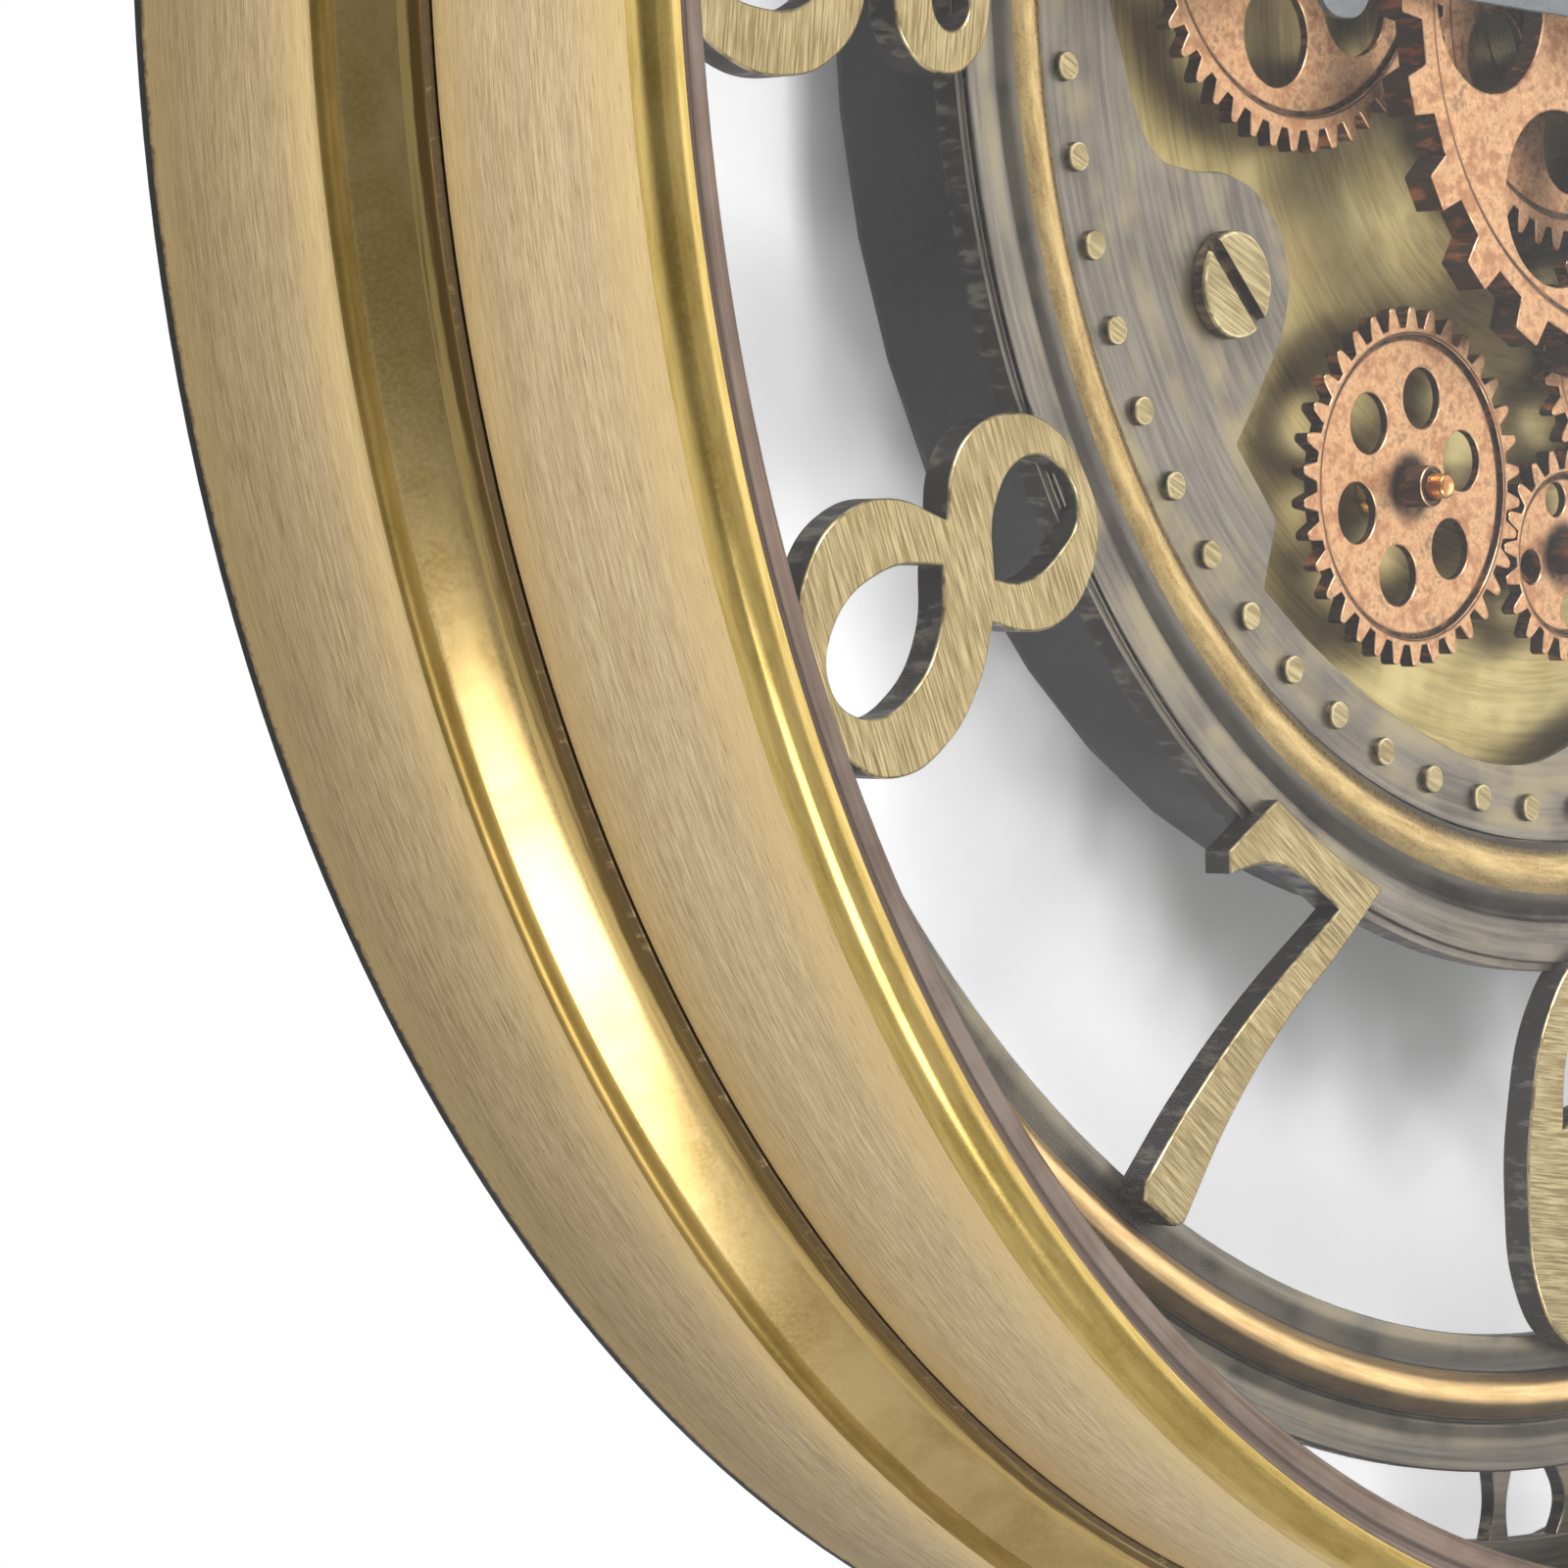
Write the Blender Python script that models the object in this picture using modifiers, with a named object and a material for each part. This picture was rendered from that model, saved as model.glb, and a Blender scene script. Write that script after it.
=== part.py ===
# Gear wall clock, 600 mm across: a brass drum case with a glass front, an open dial of twelve
# cut-out numerals, and a moving gear train in the middle.
# Metres, +Z up. The front looks along -Y and the wall is the plane Y = 0. The origin is the wall
# hook, at the top end of the slot in the hanger plate.
# Shapes are modelled in the dial frame: X right, Y up, Z the height above the wall.

import math

import bmesh
import bpy

GAP = 0.0003
RUNNING = 0.0003
OVERCUT = 0.001
RING_STEPS = 48
ROUND_STEPS = 16
SMALL_STEPS = 12
SMOOTH_STEPS = 2

# Case, from the wall forwards
CASE_R = 0.2996
CASE_WALL = 0.0022
REAR_FLANGE_W = 0.0166
REAR_FLANGE_T = 0.0018
CREASE_SET = 0.0038
CREASE_H = 0.0375
GROOVE_SET = 0.0136
GROOVE_H = 0.048
LAND_W = 0.005
LAND_T = 0.0015

# Bezel and glass
BEZEL_FRONT = 0.043
BEZEL_WALL = 0.002
LIP_REACH = 0.0142
LIP_DROP = 0.0028
LIP_T = 0.0019
GLASS_T = 0.003
GLASS_SEAT_WALL = 0.0048
GASKET_W = 0.0074
GASKET_T = 0.0033

# Dial rings
RIM_RISE = 0.0025
RIM_W = 0.0074
RIM_REACH = 0.017
RING_T = 0.004
BAR_L = 0.012
OUTER_RING_W = 0.024
OUTER_BEAD_SET = 0.0134
OUTER_BEAD_W = 0.0080
OUTER_BEAD_H = 0.0037
BAR_OFFSET = math.radians(5.3)
BAR_W = 0.0062
MID_BAR_W = 0.016
BAR_WAIST = 0.62
BASE_LAP = 0.0093
BASE_STEP_W = 0.0016
INNER_FLANGE_W = 0.0076
INNER_FLANGE_RISE = 0.0028
INNER_FLANGE_T = 0.0012
INNER_CREST_SET = 0.0081
INNER_BEAD_W = 0.0136
INNER_BEAD_H = 0.0006
RIVET_PLATE_SINK = 0.0043
PLATE_LEDGE_W = 0.005
BASE_T = 0.0015

# Numerals: the foot of a numeral rests on one ring and its head on the other
NUMERAL_UNITS = 74
NUMERAL_IN_LAP = 0.0044
NUMERAL_OUT_LAP = 0.0038
NUMERAL_PROUD = 0.0054
NUMERAL_T = 0.0058

# Riveted plate and its four slotted screws
RIVET_PLATE_T = 0.0012
RIVET_SET = 0.006
RIVETS = 60
RIVET_R = 0.0024
RIVET_H = 0.0014
SCREW_PLACE = (-98, -49, 0)
SCREW_HEAD_R = 0.009
SCREW_HEAD_H = 0.0026
SCREW_EDGE = 0.0006
SCREW_SHANK_R = 0.0025
SCREW_END = 0.0012
SLOT_W = 0.003
SLOT_DEPTH = 0.0015
SLOT_TURN = math.radians(-47)

# Movement drum
TRAIN_ROOM = 0.038573
DRUM_WALL = 0.002
DRUM_LEDGE_W = 0.007
DRUM_LEDGE_T = 0.0012
COVER_H = 0.012
COVER_T = 0.001
BACK_PLATE_T = 0.0015
BACK_PLATE_DROP = 0.0047

# Gear train: one module for every fine gear
MODULE = 0.00173
ADDENDUM = 0.9 * MODULE
DEDENDUM = 1.2 * MODULE
ROOT_SHARE = 0.33
TIP_SHARE = 0.105
FINE_T = 0.003
FINE_RISE = 0.006
HUB_R = 0.0036
HUB_RISE = 0.004
POST_R = 0.0022
POST_FOOT_R = 0.005
POST_FOOT_T = 0.0017
POST_RISE = 0.0073
IDLER_POST_RISE = 0.0045
RECESS = 0.0006
# Holes: how many, their circle and radius in modules, the first one's angle, and its corners
LARGE_WINDOWS = (6, 13.12, 5.03, math.radians(16), 8)
CENTRE_WINDOWS = (5, 12.95, 4.91, math.radians(-159.5), 8)
MIDDLE_HOLES = (6, 9.08, 3.06, math.radians(16.4), 8)
IDLER_HOLES = (5, 7.40, 2.43, math.radians(30), 6)
BOTTOM_HOLES = (4, 5.78, 1.79, math.radians(12), 6)
CENTRE_TEETH = 46
LEFT_TEETH = 46
LOWER_LEFT_TEETH = 34
BOTTOM_TEETH = 20
IDLER_TEETH = 25
PINION_TEETH = 12
CENTRE_TURN = math.radians(4.8)
LEFT_TURN = math.radians(169.1)
IDLER_TURN = math.radians(-76.7)
TOP_TURN = math.radians(105)
UPPER_RIGHT_TURN = math.radians(50)
RIGHT_TURN = math.radians(-24)
BOTTOM_TURN = math.radians(-115.9)
LOWER_LEFT_TURN = math.radians(164.9)
PINION_TURN = math.radians(60)
COARSE_TEETH = 23
COARSE_TIP_R = 37.34 * MODULE
COARSE_ROOT_R = 34.22 * MODULE
COARSE_TURN = math.radians(-164.8)
COARSE_ROOT_SHARE = 0.265
COARSE_TIP_SHARE = 0.195
COARSE_T = 0.006
COARSE_RISE = 0.0053
COARSE_WEB_IN_R = 0.0135
COARSE_WEB_OUT_R = 32.2 * MODULE
COARSE_WINDOWS = (6, 21.97, 8.90, 0, 16)
BOSS_R = 0.0115

# Centre line, from the movement forwards
BUSH_R = 0.008
BUSH_FLANGE_R = 0.013
SHAFT_TUBE_R = 0.004
SHAFT_TUBE_BORE = 0.0033
HOUR_PIPE_R = 0.003
HOUR_PIPE_BORE = 0.002
MINUTE_SHAFT_R = 0.0017
SHAFT_DEPTH = 0.011
NUT_R = 0.0102
NUT_T = 0.0025

# Hands, at four minutes past nine
# Each hand's length, its disc's place and radius, the half widths of its arm and tip, and its hub
HAND_T = 0.0014
HOUR_SIZES = (0.134, 0.090, 0.0092, 0.0033, 0.0062, 0.011)
MINUTE_SIZES = (0.198, 0.142, 0.0082, 0.0027, 0.0052, 0.009)
HAND_POINT = 0.0004
HOUR_TURN = math.radians(177.8)
MINUTE_TURN = math.radians(63.6)
HAND_CAP_R = 0.0048
HAND_CAP_H = 0.0035

# Quartz movement, with its cell and setting knob
QUARTZ_W = 0.056
QUARTZ_TOP = 0.018
QUARTZ_T = 0.0164
CELL_R = 0.0071
CELL_L = 0.0488
CELL_NUB_R = 0.0027
CELL_NUB_L = 0.001
CELL_ROOM = 0.0006
QUARTZ_CELL_Y = -0.028
KNOB_X = 0.015
KNOB_Y = 0.002
KNOB_R = 0.0065
KNOB_T = 0.0035
KNOB_STEM_R = 0.0015
KNOB_STEM_L = 0.005
KNOB_NOTCH_W = 0.0014
KNOB_NOTCH_DEPTH = 0.001
KNOB_ROOM = 0.001
QUARTZ_FRONT_T = 0.0012

# Drive box for the gears, with its motor, two cells, switch and sliding cover
DRIVE_WALL = 0.0016
PINION_FROM_MOTOR = 0.0023
PINION_FROM_BOTTOM = 0.0235
MOTOR_BAY_W = 0.0214
CELL_PITCH = 0.0156
CELL_SIDE_ROOM = 0.0045
SPRING_ROOM = 0.0015
MOTOR_T = 0.016
MOTOR_LIFT = 0.002
PINION_SHAFT_R = 0.002
PINION_SHAFT_PROUD = 0.002
SHAFT_IN_MOTOR = 0.008
SWITCH_FROM_BOTTOM = 0.008
SWITCH_W = 0.004
SWITCH_L = 0.005
SWITCH_TRAVEL = 0.003
SWITCH_PROUD = 0.0015
SWITCH_LAP = 0.0012
SWITCH_SHOE_T = 0.0009
BATTERY_COVER_T = 0.0016
BATTERY_COVER_LAP = 0.002
GRIP_RIDGES = 4
RIDGE_PITCH = 0.003
RIDGE_W = 0.0012
RIDGE_L = 0.016
RIDGE_H = 0.0006

# Hanger plate
HANGER_W = 0.05
HANGER_TALL = 0.058
HANGER_T = 0.0015
HANGER_SET = 0.0056
HOOK_DROP = 0.032
SLOT_HALF_W = 0.0025
KEYHOLE_R = 0.0055
SLOT_LENGTH = 0.010

# Drive box, worked out from its cells and its motor
cell_bay_w = CELL_L + 2 * (CELL_NUB_L + SPRING_ROOM)
drive_w = cell_bay_w + MOTOR_BAY_W + 3 * DRIVE_WALL
drive_tall = CELL_PITCH + 2 * (CELL_R + CELL_SIDE_ROOM + DRIVE_WALL)
motor_from_left = drive_w - DRIVE_WALL - MOTOR_BAY_W / 2

# Radii, worked out from the case and from the gear train inside it
crease_r = CASE_R - CREASE_SET
groove_r = CASE_R - GROOVE_SET
land_in_r = groove_r - LAND_W
rear_flange_in_r = CASE_R - REAR_FLANGE_W
lip_in_r = groove_r - LIP_REACH
rim_in_r = groove_r - RIM_REACH
band_out_r = rim_in_r - BAR_L
outer_bead_r = band_out_r - OUTER_BEAD_SET
outer_flange_r = band_out_r - OUTER_RING_W
hanger_out_r = CASE_R - HANGER_SET
hook_r = hanger_out_r - HOOK_DROP
train_reach = MODULE * (CENTRE_TEETH / 2 + LEFT_TEETH) + ADDENDUM
drum_r = train_reach + TRAIN_ROOM
base_step_r = drum_r + BASE_LAP
inner_flange_r = base_step_r - BASE_STEP_W
inner_bead_out_r = inner_flange_r - INNER_FLANGE_W
inner_bead_crest_r = inner_bead_out_r - INNER_CREST_SET
inner_bead_in_r = inner_bead_out_r - INNER_BEAD_W
rivet_circle_r = inner_bead_in_r - RIVET_SET
numeral_in_r = inner_flange_r - NUMERAL_IN_LAP
numeral_out_r = outer_flange_r + NUMERAL_OUT_LAP
numeral_unit = (numeral_out_r - numeral_in_r) / NUMERAL_UNITS

# Heights above the wall, worked out from the sizes above
dial_h = GROOVE_H - LAND_T - GAP - RIM_RISE
bezel_low = GROOVE_H + GAP
bezel_top = GROOVE_H + BEZEL_FRONT
lip_h = bezel_top - LIP_DROP
glass_top = lip_h - LIP_T - GAP
glass_low = glass_top - GLASS_T
numeral_top = dial_h + NUMERAL_PROUD
numeral_low = numeral_top - NUMERAL_T
inner_flange_h = dial_h + INNER_FLANGE_RISE
base_step = inner_flange_h - INNER_FLANGE_T
base_top = inner_flange_h - RIVET_PLATE_SINK
base_low = base_top - BASE_T
rivet_plate_low = base_top + GAP
rivet_plate_top = rivet_plate_low + RIVET_PLATE_T
drum_top = base_low - GAP
drum_low = COVER_H + COVER_T + GAP
back_plate_top = drum_top - BACK_PLATE_DROP + GAP
back_plate_low = back_plate_top - BACK_PLATE_T
ledge_top = back_plate_low - GAP
fine_low = back_plate_top + FINE_RISE
fine_top = fine_low + FINE_T
coarse_low = fine_top + COARSE_RISE
coarse_top = coarse_low + COARSE_T
boss_top = coarse_top + 0.0008
bush_top = boss_top + 0.0003
nut_low = bush_top + GAP
tube_top = nut_low + NUT_T + 0.0008
hour_low = tube_top + 0.001
minute_low = hour_low + HAND_T + 0.0018
cap_low = minute_low + HAND_T + GAP
box_front = back_plate_low - GAP

# The dial frame stands at the dial's centre, with its Z axis out of the wall
for old in list(bpy.data.objects):
    bpy.data.objects.remove(old, do_unlink=True)
clock = bpy.data.collections.new("gear_wall_clock")
helpers = bpy.data.collections.new("cutters")
helpers.hide_render = True
bpy.context.scene.collection.children.link(clock)
bpy.context.scene.collection.children.link(helpers)
dial = bpy.data.objects.new("dial_centre", None)
clock.objects.link(dial)
dial.location = (0, 0, -hook_r)
dial.rotation_euler = (math.radians(90), 0, 0)


def finish(name, colour, roughness, metallic, alpha=1.0):
    """A plain Principled material."""
    material = bpy.data.materials.new(name)
    material.use_nodes = True
    shader = material.node_tree.nodes["Principled BSDF"]
    shader.inputs["Base Color"].default_value = (*colour, 1)
    shader.inputs["Roughness"].default_value = roughness
    shader.inputs["Metallic"].default_value = metallic
    shader.inputs["Alpha"].default_value = alpha
    return material


BRUSHED_BRASS = finish("brushed_brass", (0.52, 0.40, 0.22), 0.38, 1)
OLD_BRASS = finish("old_brass", (0.33, 0.27, 0.14), 0.42, 1)
GUNMETAL = finish("gunmetal", (0.15, 0.13, 0.11), 0.45, 1)
COPPER = finish("copper", (0.62, 0.32, 0.18), 0.5, 1)
BRIGHT_BRASS = finish("bright_brass", (0.72, 0.52, 0.25), 0.25, 1)
CHARCOAL = finish("charcoal", (0.03, 0.03, 0.035), 0.6, 0)
HAND_GREY = finish("hand_grey", (0.14, 0.15, 0.16), 0.5, 0.3)
BLACK_PLASTIC = finish("black_plastic", (0.02, 0.02, 0.02), 0.45, 0)
PALE_PLASTIC = finish("white_plastic", (0.75, 0.75, 0.72), 0.4, 0)
CELL_WRAP = finish("cell_wrap", (0.12, 0.25, 0.14), 0.35, 0.2)
STEEL = finish("steel", (0.42, 0.42, 0.42), 0.35, 1)
RUBBER = finish("rubber", (0.03, 0.03, 0.03), 0.8, 0)
GLASS = finish("clear_glass", (0.95, 0.97, 0.96), 0.05, 0, 0.25)


def add(name, data, material=None, centre=(0, 0, 0), collection=clock):
    """An object in the dial frame, at a place given as x, y and height."""
    obj = bpy.data.objects.new(name, data)
    collection.objects.link(obj)
    obj.parent = dial
    obj.location = centre
    if material:
        data.materials.append(material)
    if collection is helpers:
        obj.hide_render = True
        obj.display_type = "WIRE"
    return obj


def turned(name, profile, material=None, centre=(0, 0, 0), steps=ROUND_STEPS, collection=clock):
    """A turned shape about the height axis, from (radius, height) points.

    The profile runs down its outer side. It closes on itself unless it ends on the axis.
    """
    mesh = bpy.data.meshes.new(name)
    shape = bmesh.new()
    points = [shape.verts.new((radius, 0, height)) for radius, height in profile]
    for first, second in zip(points, points[1:]):
        shape.edges.new((first, second))
    if profile[0][0] > 0:
        shape.edges.new((points[-1], points[0]))
    shape.to_mesh(mesh)
    shape.free()
    obj = add(name, mesh, material, centre, collection)
    screw = obj.modifiers.new("turn", "SCREW")
    screw.steps = steps
    screw.render_steps = steps
    screw.use_merge_vertices = True
    screw.merge_threshold = 0.00001
    return obj


def disc(radius, low, high):
    """The profile of a solid disc."""
    return [(0, high), (radius, high), (radius, low), (0, low)]


def ring(inner, outer, low, high):
    """The profile of a flat ring."""
    return [(outer, high), (outer, low), (inner, low), (inner, high)]


def circle(radius, centre=(0, 0), steps=ROUND_STEPS):
    """A round outline, as corner points."""
    turns = [2 * math.pi * i / steps for i in range(steps)]
    return [(centre[0] + radius * math.cos(t), centre[1] + radius * math.sin(t)) for t in turns]


def rectangle(left, right, bottom, top):
    return [(left, bottom), (right, bottom), (right, top), (left, top)]


def add_corners(curve, points):
    spline = curve.splines.new("POLY")
    spline.points.add(len(points) - 1)
    for point, (x, y) in zip(spline.points, points):
        point.co = (x, y, 0, 1)
    spline.use_cyclic_u = True


def add_smooth(curve, points):
    """A smooth closed outline. A point with a third value of 1 is a sharp corner."""
    spline = curve.splines.new("BEZIER")
    spline.bezier_points.add(len(points) - 1)
    spline.resolution_u = SMOOTH_STEPS
    for knot, (x, y, corner) in zip(spline.bezier_points, points):
        knot.co = (x, y, 0)
        knot.handle_left_type = "VECTOR" if corner else "AUTO"
        knot.handle_right_type = "VECTOR" if corner else "AUTO"
    spline.use_cyclic_u = True


def flat(name, low, high, material=None, corners=(), smooth=(), centre=(0, 0), collection=clock):
    """A flat shape between two heights: outlines inside the first one are holes."""
    curve = bpy.data.curves.new(name, "CURVE")
    curve.dimensions = "2D"
    curve.fill_mode = "BOTH"
    curve.extrude = (high - low) / 2
    for points in corners:
        add_corners(curve, points)
    for points in smooth:
        add_smooth(curve, points)
    drawn = bpy.data.objects.new(name + "_outline", curve)
    mesh = bpy.data.meshes.new_from_object(drawn)
    bpy.data.objects.remove(drawn)
    bpy.data.curves.remove(curve)
    clean = bmesh.new()
    clean.from_mesh(mesh)
    bmesh.ops.remove_doubles(clean, verts=clean.verts, dist=0.000001)
    bmesh.ops.recalc_face_normals(clean, faces=clean.faces)
    clean.to_mesh(mesh)
    clean.free()
    mesh.name = name
    return add(name, mesh, material, (centre[0], centre[1], (low + high) / 2), collection)


def combine(obj, other, operation):
    """A live Boolean with a hidden helper."""
    step = obj.modifiers.new(operation.lower() + "_" + other.name, "BOOLEAN")
    step.operation = operation
    step.solver = "EXACT"
    step.object = other
    return obj


def join(obj, other):
    return combine(obj, other, "UNION")


def cut(obj, other):
    return combine(obj, other, "DIFFERENCE")


def turn(obj, angle):
    """Turns an object in the dial plane."""
    obj.rotation_euler = (0, 0, angle)
    return obj


def around(radius, angle, centre=(0, 0)):
    return (centre[0] + radius * math.cos(angle), centre[1] + radius * math.sin(angle))


# Case and bezel
def case_ring():
    wall = CASE_R - CASE_WALL
    turned(
        "case_ring",
        [
            (land_in_r, GROOVE_H),
            (groove_r, GROOVE_H),
            (groove_r + 0.0024, CREASE_H + 0.0065),
            (groove_r + 0.0048, CREASE_H + 0.0022),
            (crease_r - 0.0026, CREASE_H + 0.0005),
            (crease_r, CREASE_H),
            (crease_r + 0.0024, CREASE_H - 0.003),
            (CASE_R - 0.0002, CREASE_H - 0.0095),
            (CASE_R, 0),
            (rear_flange_in_r, 0),
            (rear_flange_in_r, REAR_FLANGE_T),
            (wall, REAR_FLANGE_T),
            (wall, CREASE_H - 0.009),
            (crease_r - 0.0012, CREASE_H - 0.0022),
            (groove_r + 0.0010, CREASE_H + 0.0025),
            (groove_r - 0.0010, GROOVE_H - LAND_T),
            (land_in_r, GROOVE_H - LAND_T),
        ],
        BRUSHED_BRASS,
        steps=RING_STEPS,
    )


def bezel_ring():
    seat = groove_r - GLASS_SEAT_WALL
    turned(
        "bezel_ring",
        [
            (lip_in_r, lip_h),
            (lip_in_r + 0.0034, lip_h),
            (lip_in_r + 0.0048, bezel_top - 0.0015),
            (groove_r - 0.0071, bezel_top),
            (groove_r - 0.0050, bezel_top - 0.0003),
            (groove_r - 0.0030, bezel_top - 0.0020),
            (groove_r - 0.0008, bezel_top - 0.0038),
            (groove_r, bezel_top - 0.0065),
            (groove_r, bezel_low),
            (groove_r - BEZEL_WALL, bezel_low),
            (groove_r - BEZEL_WALL, bezel_top - 0.0150),
            (seat, bezel_top - 0.0115),
            (seat, lip_h - LIP_T),
            (lip_in_r, lip_h - LIP_T),
        ],
        BRUSHED_BRASS,
        steps=RING_STEPS,
    )
    pane_r = seat - GAP
    turned("glass_pane", disc(pane_r, glass_low, glass_top), GLASS, steps=RING_STEPS)
    gasket_top = glass_low - GAP
    gasket = ring(pane_r - GASKET_W, pane_r, gasket_top - GASKET_T, gasket_top)
    turned("glass_gasket", gasket, RUBBER, steps=RING_STEPS)


# Dial frame
def bar(width, low_r, high_r):
    """A waisted bar of the outer ring, standing along Y."""
    half = width / 2
    waist = half * BAR_WAIST
    middle = (low_r + high_r) / 2
    return [
        (half, low_r, 1),
        (waist, middle, 0),
        (half, high_r, 1),
        (-half, high_r, 1),
        (-waist, middle, 0),
        (-half, low_r, 1),
    ]


def dial_outer_ring():
    low = dial_h - RING_T
    bead_in = outer_bead_r - OUTER_BEAD_W / 2
    bead_out = outer_bead_r + OUTER_BEAD_W / 2
    band = turned(
        "dial_outer_ring",
        [
            (outer_flange_r, dial_h),
            (bead_in, dial_h),
            (outer_bead_r - 0.0024, dial_h + OUTER_BEAD_H * 0.78),
            (outer_bead_r, dial_h + OUTER_BEAD_H),
            (outer_bead_r + 0.0024, dial_h + OUTER_BEAD_H * 0.78),
            (bead_out, dial_h - 0.0005),
            (bead_out + 0.0010, dial_h),
            (band_out_r, dial_h),
            (band_out_r, low),
            (outer_flange_r, low),
        ],
        OLD_BRASS,
        steps=RING_STEPS,
    )
    rim_r = groove_r - 0.0010 - 2 * GAP
    rim = turned(
        "outer_rim",
        [
            (rim_in_r, dial_h),
            (rim_r - RIM_W, dial_h),
            (rim_r - RIM_W, dial_h + RIM_RISE),
            (rim_r, dial_h + RIM_RISE),
            (rim_r, low),
            (rim_in_r, low),
        ],
        steps=RING_STEPS,
        collection=helpers,
    )
    join(band, rim)
    for quarter in range(4):
        for offset, width in ((-BAR_OFFSET, BAR_W), (0, MID_BAR_W), (BAR_OFFSET, BAR_W)):
            outline = bar(width, band_out_r - 0.0008, rim_in_r + 0.0008)
            name = f"dial_bar_{quarter}_{round(math.degrees(offset))}"
            piece = flat(name, low + 0.0005, dial_h - 0.0005, smooth=[outline], collection=helpers)
            join(band, turn(piece, quarter * math.pi / 2 + offset))


def dial_inner_ring():
    crest = inner_flange_h + INNER_BEAD_H
    turned(
        "dial_inner_ring",
        [
            (inner_bead_in_r, rivet_plate_top + 0.0004),
            (inner_bead_crest_r - 0.0038, crest - 0.0012),
            (inner_bead_crest_r, crest),
            (inner_bead_crest_r + 0.0025, crest - 0.0004),
            (inner_bead_crest_r + 0.0048, crest - 0.0015),
            (inner_bead_out_r, crest - 0.0027),
            (inner_bead_out_r + 0.0003, inner_flange_h),
            (inner_flange_r, inner_flange_h),
            (inner_flange_r, base_step),
            (base_step_r, base_step),
            (base_step_r, base_low),
            (inner_bead_in_r - PLATE_LEDGE_W, base_low),
            (inner_bead_in_r - PLATE_LEDGE_W, base_top),
            (inner_bead_in_r, base_top),
        ],
        OLD_BRASS,
        steps=RING_STEPS,
    )


# Numeral outlines in millimetres, upright, with Y from the foot. A third value of 1 is a corner.
EIGHT = [
    [
        (0, 74.2, 0), (8.5, 72, 0), (14.5, 65, 0), (16, 56.5, 0), (13, 48.5, 0), (7.5, 42, 1),
        (13.8, 34.5, 0), (18, 22.5, 0), (16.3, 10, 0), (8.5, 2, 0), (-3, -0.2, 0), (-15, 2.5, 0),
        (-22.8, 10, 0), (-25.2, 20.5, 0), (-21.5, 31.5, 0), (-12, 41, 1), (-18.5, 46.5, 0),
        (-21, 54, 0), (-18.5, 63.5, 0), (-11, 71.5, 0),
    ],
    [(1.8, 46, 1), (5.8, 52, 0), (6.4, 62, 0), (3, 69.3, 0), (-4.5, 69.5, 0), (-11, 62, 0), (-8, 52, 0)],
    [(-6.5, 36.5, 1), (2, 30.5, 0), (6.8, 20, 0), (4.5, 8.5, 0), (-4, 4, 0), (-11.5, 9.5, 0), (-12.8, 24, 0)],
]
SEVEN = [
    [
        (-12.5, 74, 1), (3, 73.2, 0), (20.3, 74.3, 1), (14.5, 59, 0), (7, 42, 0), (1.3, 22, 0),
        (-1.5, 1.5, 1), (-3.2, 0, 1), (-12.6, 0.3, 1), (-13.7, 3, 1), (-9, 20, 0), (-1.5, 40, 0),
        (11.3, 65.6, 1), (1, 65.7, 0), (-9, 63.8, 0), (-18, 57.3, 1), (-20, 60.5, 1), (-16.5, 67, 0),
    ],
]
NINE = [
    [
        (-1, 74, 0), (12, 71, 0), (20, 61, 0), (22.5, 46, 0), (21.3, 29, 0), (15.5, 12, 0),
        (5, 2.2, 0), (-7, 0.6, 0), (-15.5, 5, 0), (-17.8, 12.5, 0), (-14.5, 20, 0), (-7, 23.2, 0),
        (0.8, 19.5, 0), (4.5, 11.5, 1), (10.2, 19.5, 0), (12.2, 33.5, 1), (3.5, 30, 0), (-8, 30.6, 0),
        (-16.3, 37.5, 0), (-19.8, 49, 0), (-17.5, 62, 0), (-10.5, 71, 0),
    ],
    [
        (0, 66.5, 0), (7.2, 61, 0), (10, 50, 0), (6.5, 40.5, 0), (-1, 37.2, 0), (-7.8, 42.5, 0),
        (-9.6, 54, 0), (-6, 63.5, 0),
    ],
    [(-6.3, 14.4, 0), (-1.8, 10, 0), (-6.3, 5.4, 0), (-11, 10, 0)],
]
ONE = [
    [
        (-10.5, 59, 1), (-4, 64, 0), (0.5, 74, 1), (7, 74, 1), (5.8, 50, 0), (5.8, 22, 0),
        (9, 0, 1), (-8, 0, 1), (-4.6, 22, 0), (-4.4, 55.5, 1), (-9.5, 53.5, 1),
    ],
]
TWO = [
    [
        (-20, 56.5, 0), (-17, 67, 0), (-5, 74, 0), (9, 72.5, 0), (18.5, 63, 0), (18, 48, 0),
        (8.5, 32, 0), (-7.5, 11.5, 1), (4, 13, 0), (19, 13.5, 1), (17, 0, 1), (-21, 0, 1),
        (-18, 10, 0), (-8, 25, 0), (3.5, 39, 0), (8, 53, 0), (4.5, 63, 0), (-3, 64.5, 0),
        (-8, 59, 0), (-9.5, 52, 0), (-15, 49.5, 0),
    ],
]
THREE = [
    [
        (-18, 61, 0), (-12, 70.5, 0), (0, 74, 0), (13, 70, 0), (18, 59.5, 0), (15, 48, 0),
        (7.5, 41.5, 1), (17, 33.5, 0), (20.5, 20, 0), (15.5, 6.5, 0), (2.5, 0, 0), (-12, 2.5, 0),
        (-20, 12, 0), (-18, 20.5, 0), (-11.5, 22, 0), (-7.5, 15, 0), (0, 9, 0), (7.5, 13, 0),
        (9.5, 23, 0), (4.5, 32, 0), (-4, 35, 1), (-4, 42, 1), (4, 46.5, 0), (7.5, 55, 0),
        (4, 63.5, 0), (-3, 65, 0), (-7.5, 58.5, 0), (-13.5, 55, 0),
    ],
]
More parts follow.
